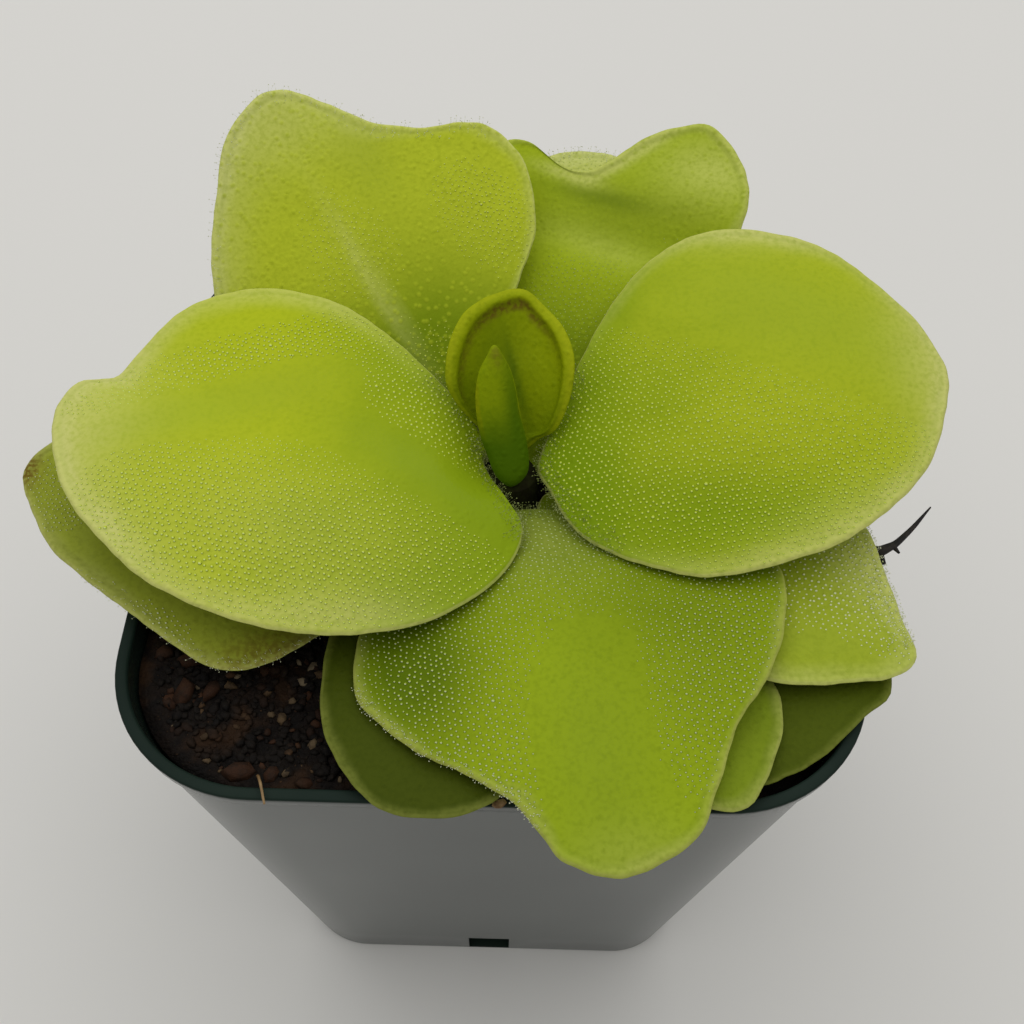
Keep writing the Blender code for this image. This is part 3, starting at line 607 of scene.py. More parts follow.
def add_dew(name, leaf, finish, pitch=0.63, size=0.155, seed=1):
    """Beads of mucilage, one on each gland, in offset rows that are a little uneven, kept where the leaf's
    dew patches are. Each is a low ball, sunk to its middle in the leaf. Each point of a bead carries the
    cosine between its surface and the direction away from the light, where a clear drop gathers the light
    that falls through it: the beads' finish paints that light on as a bright crescent, a painted caustic."""
    random = np.random.default_rng(seed)
    loop, _ = leaf_outline(leaf)
    low, high = loop.min(axis=0), loop.max(axis=0)
    x, y = np.meshgrid(np.arange(low[0], high[0], pitch), np.arange(low[1], high[1], pitch * 0.87))
    x = x + (np.arange(len(x)) % 2)[:, None] * pitch / 2
    x, y = (grid.ravel() + random.normal(0, 0.13, grid.size) * pitch for grid in (x, y))
    strength = field(leaf, "dew", x, y) - FILM_CLEARS * field(leaf, "film", x, y)
    keep = strength > random.normal(0.3, 0.05, x.size)
    x, y, strength = x[keep], y[keep], strength[keep]
    reach = (loop[:, 0] + 1j * loop[:, 1]) - (x + 1j * y)[:, None]
    winding = np.angle(np.roll(reach, -1, axis=1) / reach).sum(axis=1)
    inwards = np.abs(reach).min(axis=1)
    keep = (np.abs(winding) > 3) & (inwards > BEAD_EDGE)
    x, y, strength, inwards = x[keep], y[keep], strength[keep], inwards[keep]
    point, normal = on_leaf(leaf, x, y, inwards)
    radius = size * (0.55 + 0.45 * strength) * random.uniform(0.8, 1.15, x.size)
    radius *= np.where(random.uniform(0, 1, x.size) > BIG_BEADS, BIG_BEAD, 1.0)
    aside = unit(np.cross(normal, (0.0, 1.0, 0.0)))
    frames = np.stack([aside, np.cross(normal, aside), normal], axis=1)
    centre = point + normal * (BEAD_LIFT * radius)[:, None]
    beads = centre[:, None] + (ball * (1, 1, BEAD_FLAT) @ frames) * radius[:, None, None]
    # The painted caustic: how far each bead's surface faces away from the light.
    glow = (turned(leaf, (ball @ frames).reshape(-1, 3)) * AWAY_FROM_LIGHT).sum(axis=1)
    add_many(name, to_world(leaf, beads), ball_faces, finish, "leaf", {"glow": glow})


HAIR_THIN, HAIR_HEAD, HAIR_SUNK = 0.03, 0.075, 0.1


def add_hairs(name, leaf, finish, ranges, per_mm=3.2, long=0.7, deep=1.6, seed=1):
    """Gland hairs on the margin: three-sided spikes with small heads, that stand out of the edge and up. The
    ranges are shares of the way round the outline, from the foot up the right margin."""
    random = np.random.default_rng(seed)
    loop, _ = leaf_outline(leaf)
    place = np.concatenate([np.arange(start, end, 1 / (per_mm * LOOP_STEPS * 5)) for start, end in ranges])
    place = (place + random.uniform(0, 0.002, place.size)) % 1 * len(loop)
    here, ahead = loop[place.astype(int)], np.roll(loop, -3, axis=0)[place.astype(int)]
    ahead = unit(ahead - here)
    inset = random.uniform(0, 1, place.size)**2 * deep
    x, y = (here - np.stack([ahead[:, 1], -ahead[:, 0]], axis=1) * inset[:, None]).T
    point, normal = on_leaf(leaf, x, y, inset)
    point -= normal * HAIR_SUNK
    out = np.stack([ahead[:, 1], -ahead[:, 0], 0 * x], axis=1)
    lean = out * np.exp(-inset)[:, None] + normal * 0.8 + random.normal(0, 0.3, (len(x), 3))
    lean *= (long * random.uniform(0.5, 1.15, len(x)) / np.linalg.norm(lean, axis=1))[:, None]
    turn = np.arange(3) * 2 * np.pi / 3
    aside = unit(np.cross(lean, out + 0.3 * normal))
    across = unit(np.cross(lean, aside))
    ring = aside[:, None] * np.cos(turn)[:, None] + across[:, None] * np.sin(turn)[:, None]
    tip = (point + lean)[:, None]
    up = unit(lean)[:, None] * HAIR_HEAD
    head = [tip, tip + ring * HAIR_HEAD + up, tip + 2.2 * up]
    points = np.concatenate([point[:, None] + ring * HAIR_THIN, *head], axis=1)
    faces = np.array([(0, 1, 3), (1, 2, 3), (2, 0, 3), (0, 2, 1), (3, 4, 5), (3, 5, 6), (3, 6, 4),
                      (7, 5, 4), (7, 6, 5), (7, 4, 6)])[:, ::-1]
    add_many(name, to_world(leaf, points), faces, finish, "leaf", {})


LEAF_BROWN = (0.16, 0.11, 0.012, 1)


def leaf_finish(name, leaf):
    """Fleshy leaf skin: deep green near the crown, which is partly painted shade among the leaf bases, and in
    the deep patches, which are painted shade; brighter outwards; pale in the pale patches, which are partly
    the leaf's paler colour and partly painted light, and along the lined margin, whose pale band is partly
    painted sheen, whose pale edge line is partly a painted highlight and whose darker groove is painted
    shade; mottled and finely grained, and smooth under a film. Glands without a bead show as faint dots.
    Brown patches are speckled, and narrowed to a line inside the margin by the brown line's share."""
    deep, bright, pale = leaf["skin"]
    lined, velvet, brown_line = leaf.get("lined", 1), leaf.get("velvet", 0), leaf.get("brown_line", 0)
    made, sockets, wire = new_finish(name, {"Coat Roughness": 0.15, "Specular IOR Level": 0.05})
    inwards, outwards, underside = (wire.value(label) for label in ("inwards", "outwards", "under"))
    film, dewy, paler_and_painted_light, painted_shade, browned = (wire.value(label) for label in PATCHES)
    broad = wire.noise(110.0, 3.0)
    fine = wire.noise(1900.0, 2.0)
    glands = wire.node("ShaderNodeTexVoronoi", {}, {"Vector": wire.place(), "Scale": 1150.0}, "Distance")
    dots, skin = glands.fade(0.24, 0.12), 1 - film
    # Darker towards the crown, partly painted shade among the leaf bases; brighter outwards.
    colour = (outwards + 0.35 * (broad - 0.5)).fade(0.0, 0.62).tint(deep, bright)
    # The deep patches are painted shade; the film is a little deeper in colour too.
    colour = (painted_shade * (0.8 + 0.4 * broad) + 0.22 * film).tint(colour, deep)
    # A pale band along the margin, partly the leaf's paler margin and partly painted sheen, and the pale
    # patches, partly the leaf's paler colour and partly painted light.
    at_margin = (inwards + 3.0 * (broad - 0.5)).fade(leaf["pale_width"], 0.0) * outwards.fade(0.1, 0.5)
    colour = ((at_margin * (0.6 - 0.3 * film) + paler_and_painted_light) * (1.1 - 0.5 * fine)).tint(colour, pale)
    # A darker line in the groove inside the margin: painted shade.
    colour = (inwards.fade(0.5, 0.8) * inwards.fade(1.3, 1.0) * 0.12 * lined).tint(colour, deep)
    # A pale line on the edge: partly the leaf's pale margin, partly a painted highlight.
    colour = (inwards.fade(0.3, 0.05) * 0.75 * lined).tint(colour, pale)
    colour = (dots * skin * (1 - dewy) * 0.15).tint(colour, deep)
    colour = (glands.fade(0.42, 0.15) * skin * velvet).tint(colour, bright)
    colour = (fine.fade(0.4, 0.75) * 0.2).tint(colour, deep)
    line = 1 - brown_line * (1 - inwards.fade(0.5, 1.0) * inwards.fade(1.9, 1.2))
    colour = (browned * line * (0.35 + 0.65 * fine.fade(0.35, 0.6))).tint(colour, LEAF_BROWN)
    colour = (underside.fade(0.6, 1.0) * 0.6).tint(colour, pale)
    connect(colour, sockets["Base Color"])
    connect(0.55 - 0.2 * film + 0.1 * fine, sockets["Roughness"])
    connect(0.08 * film, sockets["Coat Weight"])
    low = wire.noise(420.0, 2.0)
    relief = 0.35 * low + (0.3 * fine - 0.4 * glands.fade(0.0, 0.5)) * (1 - 0.85 * film)
    emboss(relief, 0.5, 0.0003, sockets)
    return made


def dew_finish(name, body, bright):
    """Clear mucilage: the leaf's own green on the side to the light, and a painted caustic on the other, a
    bright crescent that stands in for the light the drop gathers and for its glints.
    """
    made, sockets, wire = new_finish(name, {"Roughness": 0.2, "IOR": 1.4, "Specular IOR Level": 0.3})
    # Painted caustic: the bead's colour brightens where it faces away from the light.
    stops = [(0.35, body), (0.66, tuple(1.15 * c for c in body[:3]) + (1,)), (0.86, bright)]
    side = 0.5 * wire.value("glow") + 0.5
    colour = wire.node("ShaderNodeValToRGB", {"stops": stops}, {"Fac": side}, "Color")
    connect(colour, sockets["Base Color"])
    return made


# Pale hair colours: the gland hairs' own pale tone, and partly painted glints of their wet heads.
HAIR_AND_GLINT_COLOURS = (0.62, 0.66, 0.38, 1), (0.80, 0.82, 0.62, 1)
FUZZ_COLOURS = (0.26, 0.31, 0.08, 1), (0.42, 0.47, 0.18, 1)

hair = mottled("gland_hairs", {"Roughness": 0.3, "Specular IOR Level": 0.3}, 600.0, 2.0, (0.35, 0.65),
               HAIR_AND_GLINT_COLOURS)
fuzz = mottled("foot_fuzz", {"Roughness": 0.5, "Specular IOR Level": 0.2}, 600.0, 2.0, (0.35, 0.65),
               FUZZ_COLOURS)


def grow_leaf(name, node, leaf):
    """A leaf from its own sizes and colours: its blade, and the hairs, fuzz and beads it has."""
    add_blade(name + "_blade", node, leaf, leaf_finish(name, leaf), *leaf.get("grid", BLADE_GRID))
    for kind, finish in (("hairs", hair), ("fuzz", fuzz)):
        if kind in leaf:
            add_hairs(name + "_" + kind, leaf, finish, **leaf[kind])
    if "beads" in leaf:
        add_dew(name + "_dew", leaf, dew_finish(name + "_beads", *leaf["bead_colours"]), **leaf["beads"])


LEFT_LEAF = dict(
    heading=172, base=6.0, rise=0.42, bend=-0.0065, tilt=-0.05, left=-0.004, right=-0.004,
    right_margin=[(3.4, -1.6), (5.3, -4), (9, -6.5), (14.2, -10), (19.3, -12.8), (24, -14.2), (30.7, -14),
                  (37.2, -10.3), (40.4, -4.5), (42, 0), (44.2, 1), (46.4, 1.6)],
    tip=(47.4, 5),
    left_margin=[(46, 9.5), (42, 15.5), (34, 21.5), (28, 23.8), (21, 24.8), (14, 24), (6.7, 21), (1.6, 16.4),
                 (-1.3, 11.7), (-2, 7.2), (0, 4.4)],
    swells=[(2.5, 0, 4, 4, 0, -2.2), (24, 2, 20, 6, -4, -0.9)],
    foot=(3.35, 0),
    # The pale patches are partly the leaf's paler tip and margin and partly painted light on its lower
    # margin.
    pale=[(46, 6, 7, 13, 0, 0.8), (38, 19, 10, 4, -35, 0.5), (22, 16, 16, 7, 0, 0.22),
          (13, 22, 9, 2.5, 10, 0.5)],
    # The deep patch, towards the crown, is painted shade.
    deep=[(13, -6, 9, 4.5, -32, 0.45)],
    film=[(31, 2.5, 14, 3, 30, 1.2), (9, 4, 10, 2.5, -15, 1.0)],
    dew=[(32, -2.5, 14, 3, 30, 1.2), (10, -3.5, 11.5, 5.2, -32, 1.3), (20, 15.5, 19, 9, 0, 1.3),
         (34, 13, 8, 5, -40, 0.7)],
    skin=[(0.25, 0.36, 0.006, 1), (0.45, 0.53, 0.014, 1), (0.62, 0.64, 0.19, 1)],
    pale_width=4.0,
    fuzz=dict(ranges=[(0.0, 0.13), (0.90, 1.0)], per_mm=14, long=0.8, deep=2.0, seed=21),
    bead_colours=[(0.48, 0.57, 0.030, 1), (0.74, 0.84, 0.30, 1)],
    beads=dict(seed=1),
)
grow_leaf("left_leaf", "leaf_left", LEFT_LEAF)


# The large right leaf: a nearly round blade that is tipped to the left. Its upper left part is covered by a
# wet film and the rest by fine beads.
RIGHT_LEAF = dict(
    heading=8, base=3.36, rise=0.52, bend=-0.0075, tilt=0.18, left=-0.003, right=-0.003,
    right_margin=[(4, -3), (5, -6), (6.6, -9), (9.8, -12), (13.4, -14.3), (17.2, -16), (21, -16.5),
                  (25, -16.2), (31.3, -15), (38, -11.3), (43, -6.5)],
    tip=(47, 2),
    left_margin=[(46.5, 7), (44.8, 11), (42, 15), (38.3, 19.4), (34, 22.2), (27.8, 24.2), (23.2, 24.1),
                 (18, 21.6), (13.6, 17.4), (10, 12.4), (7.3, 8.2), (4.8, 3.6)],
    swells=[(26, -9, 12, 6, 10, -1.0)],
    foot=(3.1, 0),
    pale=[(47, 3, 5, 14, 0, 0.7), (32, 23, 14, 2.5, -10, 0.5), (33, -13, 12, 3, 20, 0.35)],
    # The deep patches, by the crown and on the near side, are painted shade.
    deep=[(7, -3, 4, 8, 0, 0.8), (21, -10.5, 13, 5, -5, 0.75)],
    film=[(31, 12, 15, 6.5, -35, 1.1)],
    dew=[(23, -4, 22, 12, -20, 1.3), (9, 3, 8, 8, 0, 1.1)],
    skin=[(0.19, 0.30, 0.003, 1), (0.42, 0.50, 0.016, 1), (0.60, 0.62, 0.18, 1)],
    pale_width=3.0,
    fuzz=dict(ranges=[(0.0, 0.16), (0.90, 1.0)], per_mm=14, long=0.8, deep=2.0, seed=22),
    bead_colours=[(0.40, 0.49, 0.015, 1), (0.66, 0.78, 0.20, 1)],
    beads=dict(seed=2),
)
grow_leaf("right_leaf", "leaf_right", RIGHT_LEAF)


# The large front leaf, with a broad lobe on each side of a blunt tip. Beads stand over its left half and
# along its lobes, and its tip is smooth. Its deep green and the deep patches, strongest on its left half,
# are painted shade, and the pale patch by the crown is painted light.
FRONT_LEAF = dict(
    heading=-80, base=0.8, rise=0.28, bend=-0.0058, tilt=0.05, left=-0.0005, right=-0.003,
    right_margin=[(5, -4), (9.5, -10.5), (14.7, -16.8), (21.5, -18.7), (25.4, -17.4), (30, -13.3), (33, -9),
                  (36.3, -5.2), (39.8, -3), (42.4, -1.2)],
    tip=(44.1, 3.6),
    left_margin=[(42, 10), (38, 13), (32.2, 16.4), (28, 20.4), (23, 23.4), (16.5, 25), (10, 22), (6, 14),
                 (4.4, 5)],
    swells=[(24, 0, 22, 5, 0, 0.8), (10, -5, 8, 8, 0, -0.7)],
    # The pale patch by the crown is painted light; the one at the tip is its paler colour.
    pale=[(43, 4, 3, 6, 0, 0.3), (8, 2, 6, 7, 0, 0.42)],
    # The deep patches, strongest on the left half, are painted shade.
    deep=[(21, -13, 9, 6, 0, 1.2), (24, 16, 10, 9, 0, 0.4)],
    film=[(34, 3, 11, 5, 0, 0.8)],
    dew=[(20, -9.5, 14, 8.5, 0, 1.2), (10, 4, 9, 9, 0, 0.9), (32, -7, 7, 3, 25, 1.0),
         (24, 17, 15, 6.5, -30, 1.2)],
    # The deep green is partly painted shade.
    skin=[(0.105, 0.165, 0.002, 1), (0.31, 0.415, 0.010, 1), (0.44, 0.48, 0.10, 1)],
    pale_width=1.5,
    hairs=dict(ranges=[(0.20, 0.42)], per_mm=7, long=0.4, deep=1.2, seed=3),
    fuzz=dict(ranges=[(0.0, 0.08), (0.94, 1.0)], per_mm=14, deep=2.5, seed=23),
    bead_colours=[(0.24, 0.33, 0.012, 1), (0.66, 0.72, 0.42, 1)],
    beads=dict(seed=3),
)
grow_leaf("front_leaf", "leaf_front", FRONT_LEAF)


# The large back left leaf, broad and a little hollow, with a velvety face: its beads are fine, and larger
# only on the right and in the middle.
BACK_LEFT_LEAF = dict(
    heading=118, base=1.6, rise=0.36, bend=0.0025, tilt=-0.1, left=-0.012, right=-0.002,
    right_margin=[(5, -2), (10, -4), (16, -7), (20, -10.4), (24.8, -15), (30.5, -17), (34, -16.6),
                  (36.6, -14.8), (38, -11.5), (38.7, -7.5), (40.6, -2.8), (43, 0.3)],
    tip=(47, 5),
    left_margin=[(48, 9), (46.2, 13.4), (43.3, 15.8), (36.5, 20), (30, 20.6), (20.5, 16.5), (11, 8.4),
                 (5, 2.4)],
    pale=[(46, 8, 5, 12, 0, 0.6), (36, 19, 12, 3, -30, 0.4), (25.6, 4.6, 9, 0.8, 9, 0.5)],
    # The deep patch, by the crown, is painted shade.
    deep=[(15, 1, 11, 10, 0, 1.1)],
    film=[(39, 0, 6, 3, 0, 0.8)],
    dew=[(27, -11, 8, 5, 30, 0.9), (31, 5, 6, 5, 0, 0.9), (12, 2, 8, 6, 0, 0.7)],
    skin=[(0.18, 0.26, 0.003, 1), (0.49, 0.57, 0.025, 1), (0.64, 0.67, 0.20, 1)],
    pale_width=2.5, velvet=0.4,
    hairs=dict(ranges=[(0.36, 0.86), (0.0, 0.12)], seed=4),
    bead_colours=[(0.50, 0.58, 0.040, 1), (0.68, 0.74, 0.20, 1)],
    beads=dict(seed=4, pitch=0.62, size=0.12),
)
grow_leaf("back_left_leaf", "leaf_back_left", BACK_LEFT_LEAF)


# The back right leaf, folded down behind the large right one, with a lip that dips in the middle and a
# smooth lobe on the right. The pale band along the lip and a pale patch in its hollow are painted light, and
# the deep patches, under the lip and by the crown, are painted shade.
BACK_RIGHT_LEAF = dict(
    heading=62, base=0.4, rise=0.3, bend=0.0018, left=-0.002, right=-0.004,
    right_margin=[(5, -2), (13.5, -4.4), (23, -7), (33, -8.8), (37, -8.9), (41, -7.9), (44.7, -5)],
    tip=(47, 0),
    left_margin=[(45.4, 3.6), (42.8, 6.6), (39.3, 8.8), (37.2, 11.4), (37.2, 15.2), (38.7, 19.6),
                 (37.6, 22.6), (32, 21), (24, 16.5), (16, 11), (9, 5.5), (5, 2.4)],
    swells=[(32, 2, 3.5, 14, 10, -1.6), (38, -4, 4, 9, 0, 1.2)],
    # The pale patches along the lip and the one in the hollow are painted light.
    pale=[(42, -3.5, 4.2, 6.5, 10, 0.8), (36.6, 13, 0.8, 4, 0, 1.1), (38.0, 9.2, 2.4, 0.8, -53, 1.1),
          (42.2, 5.8, 4.5, 0.9, -35, 1.1), (30.5, 5, 2, 8, 0, 0.35)],
    # The deep patches, under the lip and by the crown, are painted shade.
    deep=[(35.4, 8, 0.9, 8, 6, 0.6), (14, 3, 10, 9, 0, 0.9)],
    rolled=0.16,
    film=[(34, 6, 4, 8, 0, 0.7)],
    dew=[(25, 4, 9, 7, 0, 0.7), (33, -3, 8, 3, 60, 0.5)],
    skin=[(0.15, 0.22, 0.002, 1), (0.36, 0.46, 0.012, 1), (0.54, 0.59, 0.13, 1)],
    pale_width=1.5, velvet=0.3,
    bead_colours=[(0.28, 0.37, 0.018, 1), (0.52, 0.60, 0.20, 1)],
    beads=dict(seed=5, pitch=0.62, size=0.11),
)
grow_leaf("back_right_leaf", "leaf_back_right", BACK_RIGHT_LEAF)


# A low leaf behind it, of which only a sliver shows over the lip: a broad fleshy blade from the far side of
# the crown, with beads and a fringe of hairs.
BACK_LOW_LEAF = dict(
    heading=84, base=-0.6, rise=0.12, bend=0.001, left=-0.002, right=-0.002,
    right_margin=[(5, -2), (12, -6.5), (25, -12), (38, -14), (46.6, -12), (49.6, -8)],
    tip=(50.3, -3.5),
    left_margin=[(48.9, 1.5), (45.3, 6.5), (38, 10.5), (25, 11.5), (12, 6.5), (5, 2)],
    pale=[(48, -2, 6, 12, 0, 0.8)],
    dew=[(40, 0, 12, 9, 0, 0.7)],
    skin=[(0.20, 0.28, 0.006, 1), (0.42, 0.49, 0.030, 1), (0.60, 0.64, 0.20, 1)],
    pale_width=3.0, velvet=0.3, grid=(60, 16),
    hairs=dict(ranges=[(0.35, 0.80)], seed=6),
    bead_colours=[(0.34, 0.42, 0.030, 1), (0.74, 0.84, 0.30, 1)],
    beads=dict(seed=6, pitch=0.8, size=0.13),
)
grow_leaf("back_low_leaf", "leaf_back_low", BACK_LOW_LEAF)


# The leaf under the right one: a fleshy blade that grows from the crown beneath it, with a fuzzy right edge
# full of beads and a blunt tip.
RIGHT_LOW_LEAF = dict(
    heading=-18, base=-0.05, rise=0.139, bend=-0.0014, left=-0.002, right=-0.001,
    right_margin=[(5, -2), (14, -6), (24, -12), (31, -14), (35, -13.4), (39, -11.8), (42.8, -10)],
    tip=(44.7, -7),
    left_margin=[(42.8, -3.6), (40.5, 1), (37.5, 6.6), (33, 11), (23, 12), (12, 8), (5, 2.5)],
    # The pale patch is partly painted light.
    pale=[(38, 2, 7, 3.5, -45, 0.75)],
    film=[(36, -9, 5, 2.5, 0, 0.3)],
    dew=[(37, 1, 10, 6, -45, 1.3), (30, -6, 8, 5, 0, 0.6)],
    skin=[(0.16, 0.23, 0.006, 1), (0.34, 0.42, 0.025, 1), (0.56, 0.60, 0.16, 1)],
    pale_width=2.5, grid=(70, 18),
    hairs=dict(ranges=[(0.52, 0.80)], per_mm=14, long=0.4, deep=3.0, seed=7),
    bead_colours=[(0.36, 0.43, 0.05, 1), (0.85, 0.88, 0.62, 1)],
    beads=dict(seed=7, pitch=0.68, size=0.18),
)
grow_leaf("right_low_leaf", "leaf_right_low", RIGHT_LOW_LEAF)


# The lowest right leaf, nearly down on the mix: a smooth darker blade that lies in shadow, with a fine pale
# margin and no beads. Its dark skin colours are partly painted shade.
RIGHT_LOWEST_LEAF = dict(
    heading=-35, base=-2, rise=0.02, bend=0.0011, tilt=0.06,
    right_margin=[(5, -1.8), (14, -4), (28, -10.5), (37.5, -13.2), (40.6, -10.4), (42.6, -6), (43.5, -1.3)],
    tip=(44.5, 2.4),
    left_margin=[(42, 5.5), (34.5, 7.4), (20, 7), (10, 5), (5, 2)],
    skin=[(0.04, 0.058, 0.003, 1), (0.076, 0.103, 0.005, 1), (0.17, 0.20, 0.03, 1)],
    pale_width=1.0, grid=(60, 16),
)
grow_leaf("right_lowest_leaf", "leaf_right_lowest", RIGHT_LOWEST_LEAF)


# The narrow front right leaf: a smooth blade in shadow too, which comes out of the crown between the front
# leaf and the lowest right one. Its dark skin colours are partly painted shade.
FRONT_RIGHT_LEAF = dict(
    heading=-52, base=-0.6, rise=0.053, tilt=-0.04,
    right_margin=[(5, -1.8), (11, -3), (20, -4.5), (32.5, -7), (39, -7.6)],
    tip=(42, -5),
    left_margin=[(41.6, -2), (39.8, 1.6), (37.5, 4.8), (34, 6.8), (27, 7.6), (16, 6), (9, 3.5), (5, 1.8)],
    skin=[(0.095, 0.145, 0.004, 1), (0.205, 0.28, 0.013, 1), (0.40, 0.44, 0.10, 1)],
    pale_width=1.5, grid=(60, 16),
)
grow_leaf("front_right_leaf", "leaf_front_right", FRONT_RIGHT_LEAF)


# The front left leaf, which grows from the crown under the large front one: a smooth dark blade with a thin
# pale edge, close over the rim. Its dark skin colours are partly painted shade, under the front leaf.
FRONT_LEFT_LEAF = dict(
    heading=-112, base=-0.4, rise=0.05,
    right_margin=[(5, -1.8), (10, -4.5), (17, -8), (23.5, -9.5), (31.3, -6.5), (35.2, -3.2)],
    tip=(38.3, 2.6),
    left_margin=[(37.6, 7.4), (35, 11.4), (30, 13.4), (20, 11), (10, 5.5), (5, 2)],
    skin=[(0.031, 0.049, 0.002, 1), (0.058, 0.079, 0.004, 1), (0.20, 0.23, 0.04, 1)],
    pale_width=1.0, grid=(60, 16),
)
grow_leaf("front_left_leaf", "leaf_front_left", FRONT_LEFT_LEAF)


# The leaf under the left one, an older one: a broad fleshy blade, darker and brownish towards the crown and
# at its tip, with a wet patch and a few beads. Its darker greens are partly painted shade under the left
# leaf.
LEFT_LOW_LEAF = dict(
    heading=190, base=0.6, rise=0.1, bend=-0.001, left=-0.002, right=-0.002,
    right_margin=[(5, -2), (11, -7.5), (20, -13.5), (33, -16.8), (44.7, -15.2), (50, -11.8)],
    tip=(52.2, -8.6),
    left_margin=[(51.2, -4), (48.7, 1.8), (45, 6.2), (40.6, 10.6), (34, 16.8), (30, 18.4), (25.5, 17.2),
                 (19, 13.5), (12, 8), (5, 2)],
    brown=[(27, 17, 6, 2.5, 10, 0.7), (52, -8.5, 1.4, 2.5, 0, 1.2), (12, 5, 7, 7, 0, 0.6)],
    film=[(42, 5, 5, 4, -50, 0.8)],
    # The small dew patch by the left margin holds beads whose bright sides are painted glints.
    dew=[(45, -4, 8, 6, 0, 0.8), (38, 12.5, 4.5, 1.8, -45, 1.2)],
    skin=[(0.09, 0.11, 0.006, 1), (0.30, 0.35, 0.030, 1), (0.46, 0.48, 0.13, 1)],
    pale_width=2.0, grid=(80, 20),
    hairs=dict(ranges=[(0.55, 0.85)], seed=11),
    bead_colours=[(0.30, 0.35, 0.030, 1), (0.80, 0.84, 0.60, 1)],
    beads=dict(seed=11, pitch=0.62, size=0.14),
)
grow_leaf("left_low_leaf", "leaf_left_low", LEFT_LOW_LEAF)


# The small cupped leaf, a young one that stands up from the crown: its thick margin is still rolled
# inwards, with a brown line inside it.
CUPPED_LEAF = dict(
    heading=85, base=3.0, rise=0.9, left=0.1, right=0.1,
    right_margin=[(3.5, -2.4), (3.8, -4.2), (5.6, -5.2), (8, -5.4), (10.2, -4.7), (12.6, -3)],
    tip=(15, 0.4),
    left_margin=[(13.9, 3.5), (11.4, 5.9), (8.6, 7.2), (5.8, 7.6), (4.2, 7), (3.4, 3.5)],
    foot=(2.45, 0),
    swells=[(7.2, -2.2, 3.5, 1.6, 28, 0.3)],
    ripple=0.3,
    rolled=0.55,
    # The deep patches, in the hollow and along a fold, are painted shade.
    deep=[(9.2, 3.0, 4, 2.6, 0, 0.6), (7.4, 0.2, 3.6, 0.5, 28, 0.9)],
    brown=[(12.8, 2.0, 3.8, 4.5, 0, 1.1), (7, 6.2, 3.5, 1.5, 0, 0.4)],
    film=[(8, 1, 3, 2, 0, 0.4)],
    skin=[(0.11, 0.17, 0.001, 1), (0.27, 0.34, 0.001, 1), (0.36, 0.41, 0.006, 1)],
    pale_width=1.0, brown_line=1.0, grid=(60, 18),
)
grow_leaf("cupped_leaf", "leaf_cupped", CUPPED_LEAF)


# The youngest leaf, an upright spindle in the middle of the rosette that hasn't opened yet: thick, smooth
# and deep green, with a yellower tip.
YOUNGEST_LEAF = dict(
    heading=104, base=8.2, rise=1.35,
    right_margin=[(-1.3, -1.1), (0.4, -1.3), (2.2, -1.0), (4.6, -0.7), (5.8, -0.1)],
    tip=(6.6, 0.6),
    left_margin=[(6.0, 1.4), (5.2, 2.3), (3.9, 2.9), (2.5, 3.05), (1.2, 2.9), (0.2, 2.5), (-1.2, 1.9)],
    foot=(-2, 0.6),
    thick=2.2,
    # The deep patch, low on its right flank, is painted shade.
    deep=[(1.5, -0.6, 5, 1.1, 0, 0.9)],
    brown=[(6.3, 0.6, 0.7, 0.7, 0, 0.5)],
    ripple=0,
    skin=[(0.07, 0.14, 0.001, 1), (0.25, 0.33, 0.002, 1), (0.34, 0.34, 0.004, 1)],
    pale_width=0.3, lined=0, grid=(50, 16),
)
grow_leaf("youngest_leaf", "leaf_youngest", YOUNGEST_LEAF)


# The twig: thin, dry and dark, with the stubs of two side twigs. It leans in the mix and reaches out over
# the rim at the right.
TWIG = [(33, -6.2, -5.1, 0.40), (35, -6.7, -1.2, 0.45), (36.3, -7.1, 0.8, 0.45), (38.5, -7.8, 0.9, 0.45),
        (41.2, -8.6, 1.0, 0.60), (43, -7.7, 1.1, 0.38), (45.3, -5.4, 1.3, 0.26), (47.5, -2.9, 1.6, 0.09)]
TWIG_STUBS = [[(41.1, -8.4, 1.0, 0.42), (41.5, -10, 0.8, 0.22)],
              [(42.7, -7.8, 1.1, 0.34), (43.3, -8.7, 1, 0.12)]]


def rod(stations, sides, steps, knots):
    """A round rod through x, y, height over the rim and radius in millimetres, straight between them, with
    knots: its radius swells by that share in waves. Gives rings of points in metres."""
    given = np.array(stations, float)
    places = np.linspace(0, len(given) - 1, steps * (len(given) - 1) + 1)
    line = np.stack([np.interp(places, np.arange(len(given)), column) for column in given.T], axis=1)
    line[1:-1] = 0.25 * line[:-2] + 0.5 * line[1:-1] + 0.25 * line[2:]
    line[1:-1] = 0.25 * line[:-2] + 0.5 * line[1:-1] + 0.25 * line[2:]
    along = unit(np.gradient(line[:, :3], axis=0))
    aside = unit(np.cross((-0.5, 0.8, 0.3), along))
    turn = np.arange(sides) * 2 * np.pi / sides
    around = aside[:, None] * np.cos(turn)[:, None] + np.cross(along, aside)[:, None] * np.sin(turn)[:, None]
    radius = line[:, 3:] * (1 + knots * np.sin(2.3 * places)[:, None] * np.cos(3 * turn + places[:, None]))
    return list((line[:, None, :3] + around * radius[..., None]) * 0.001 + (0, 0, POT_HEIGHT))


def join(bodies):
    """Several closed bodies as one: their points in one list and their faces counted on."""
    starts = np.cumsum([0] + [len(points) for points, _ in bodies])
    faces = [[int(k + start) for k in face] for (_, part), start in zip(bodies, starts) for face in part]
    return np.concatenate([points for points, _ in bodies]), faces


TWIG_BROWNS = (0.010, 0.008, 0.008, 1), (0.028, 0.022, 0.018, 1)

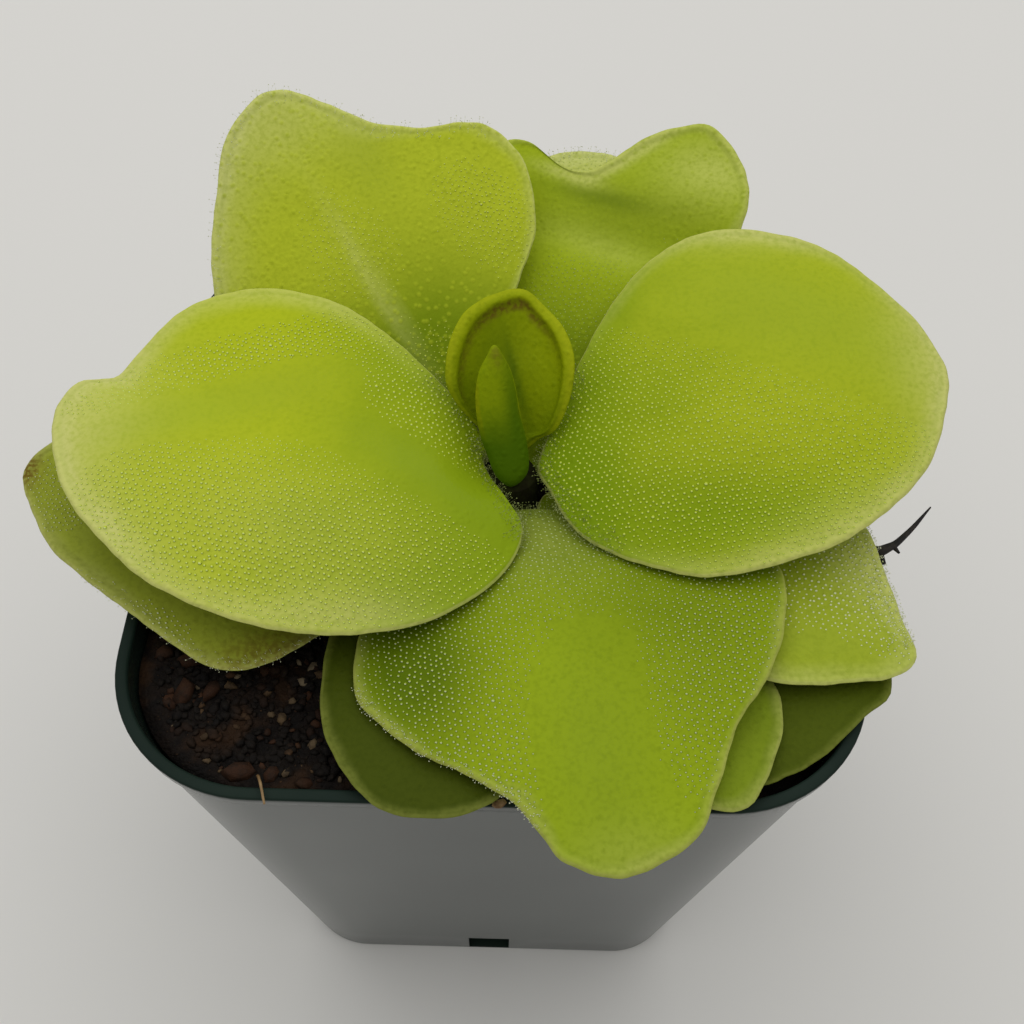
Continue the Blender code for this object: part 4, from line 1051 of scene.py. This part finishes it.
bark = mottled("twig_bark", {"Roughness": 0.8}, 900.0, 3.0, (0.4, 0.7), TWIG_BROWNS, bumps=(0.7, 0.0003))
twig_parts = [tube(rod(TWIG, 12, 6, 0.10))] + [tube(rod(stub, 10, 4, 0.08)) for stub in TWIG_STUBS]
twig = new_piece("dry_twig", *join(twig_parts), bark, "twig")
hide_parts("twig")


# The straw: a pale dry fibre that stands in the mix and is bent over the rim at the front left. It is a
# thin rod that tapers a little.
STRAW = [(-22.4, -34.6, -2.5, 0.15), (-21.8, -35.6, 0, 0.15), (-21.3, -36.7, 0.65, 0.14),
         (-21.0, -37.7, 0.6, 0.13), (-20.75, -38.5, 0.25, 0.10)]
STRAW_TANS = (0.16, 0.09, 0.03, 1), (0.30, 0.19, 0.08, 1)

dry_straw = mottled("dry_straw", {"Roughness": 0.6}, 700.0, 2.0, (0.35, 0.7), STRAW_TANS)
straw = new_piece("straw_fibre", *tube(rod(STRAW, 10, 6, 0.08)), dry_straw, "straw")
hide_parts("straw")


# The crumb: a tan bit of the mix that lies loose on the front of the rim, under the large front leaf. It is
# a small uneven lump.
CRUMB_PLACE, CRUMB_SIZE, CRUMB_TURN = (0.0012, -0.0379, 0.08255), (0.0015, 0.0009, 0.0005), 20


def crumb_rings():
    """A lump as rings of points: a ball with waves in its radius, flattened and turned."""
    polar = np.radians(np.linspace(172, 8, 14))[:, None]
    turn = np.arange(20) * 2 * np.pi / 20 + 0 * polar
    radius = 0.46 * (1 + 0.1 * np.sin(3 * turn + 4 * polar) + 0.06 * np.cos(5 * turn - 3 * polar))
    across, up = np.sin(polar), np.cos(polar) + 0 * turn
    shape = np.stack([across * np.cos(turn), across * np.sin(turn), up], axis=-1)
    return list(shape * radius[..., None] * CRUMB_SIZE @ about_z(CRUMB_TURN) + CRUMB_PLACE)


CRUMB_TANS = (0.13, 0.07, 0.03, 1), (0.36, 0.24, 0.11, 1)

tan = mottled("tan_crumb", {"Roughness": 0.9}, 1500.0, 3.0, (0.35, 0.7), CRUMB_TANS)
crumb = new_piece("crumb_on_rim", *tube(crumb_rings()), tan, "crumb")
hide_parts("crumb")
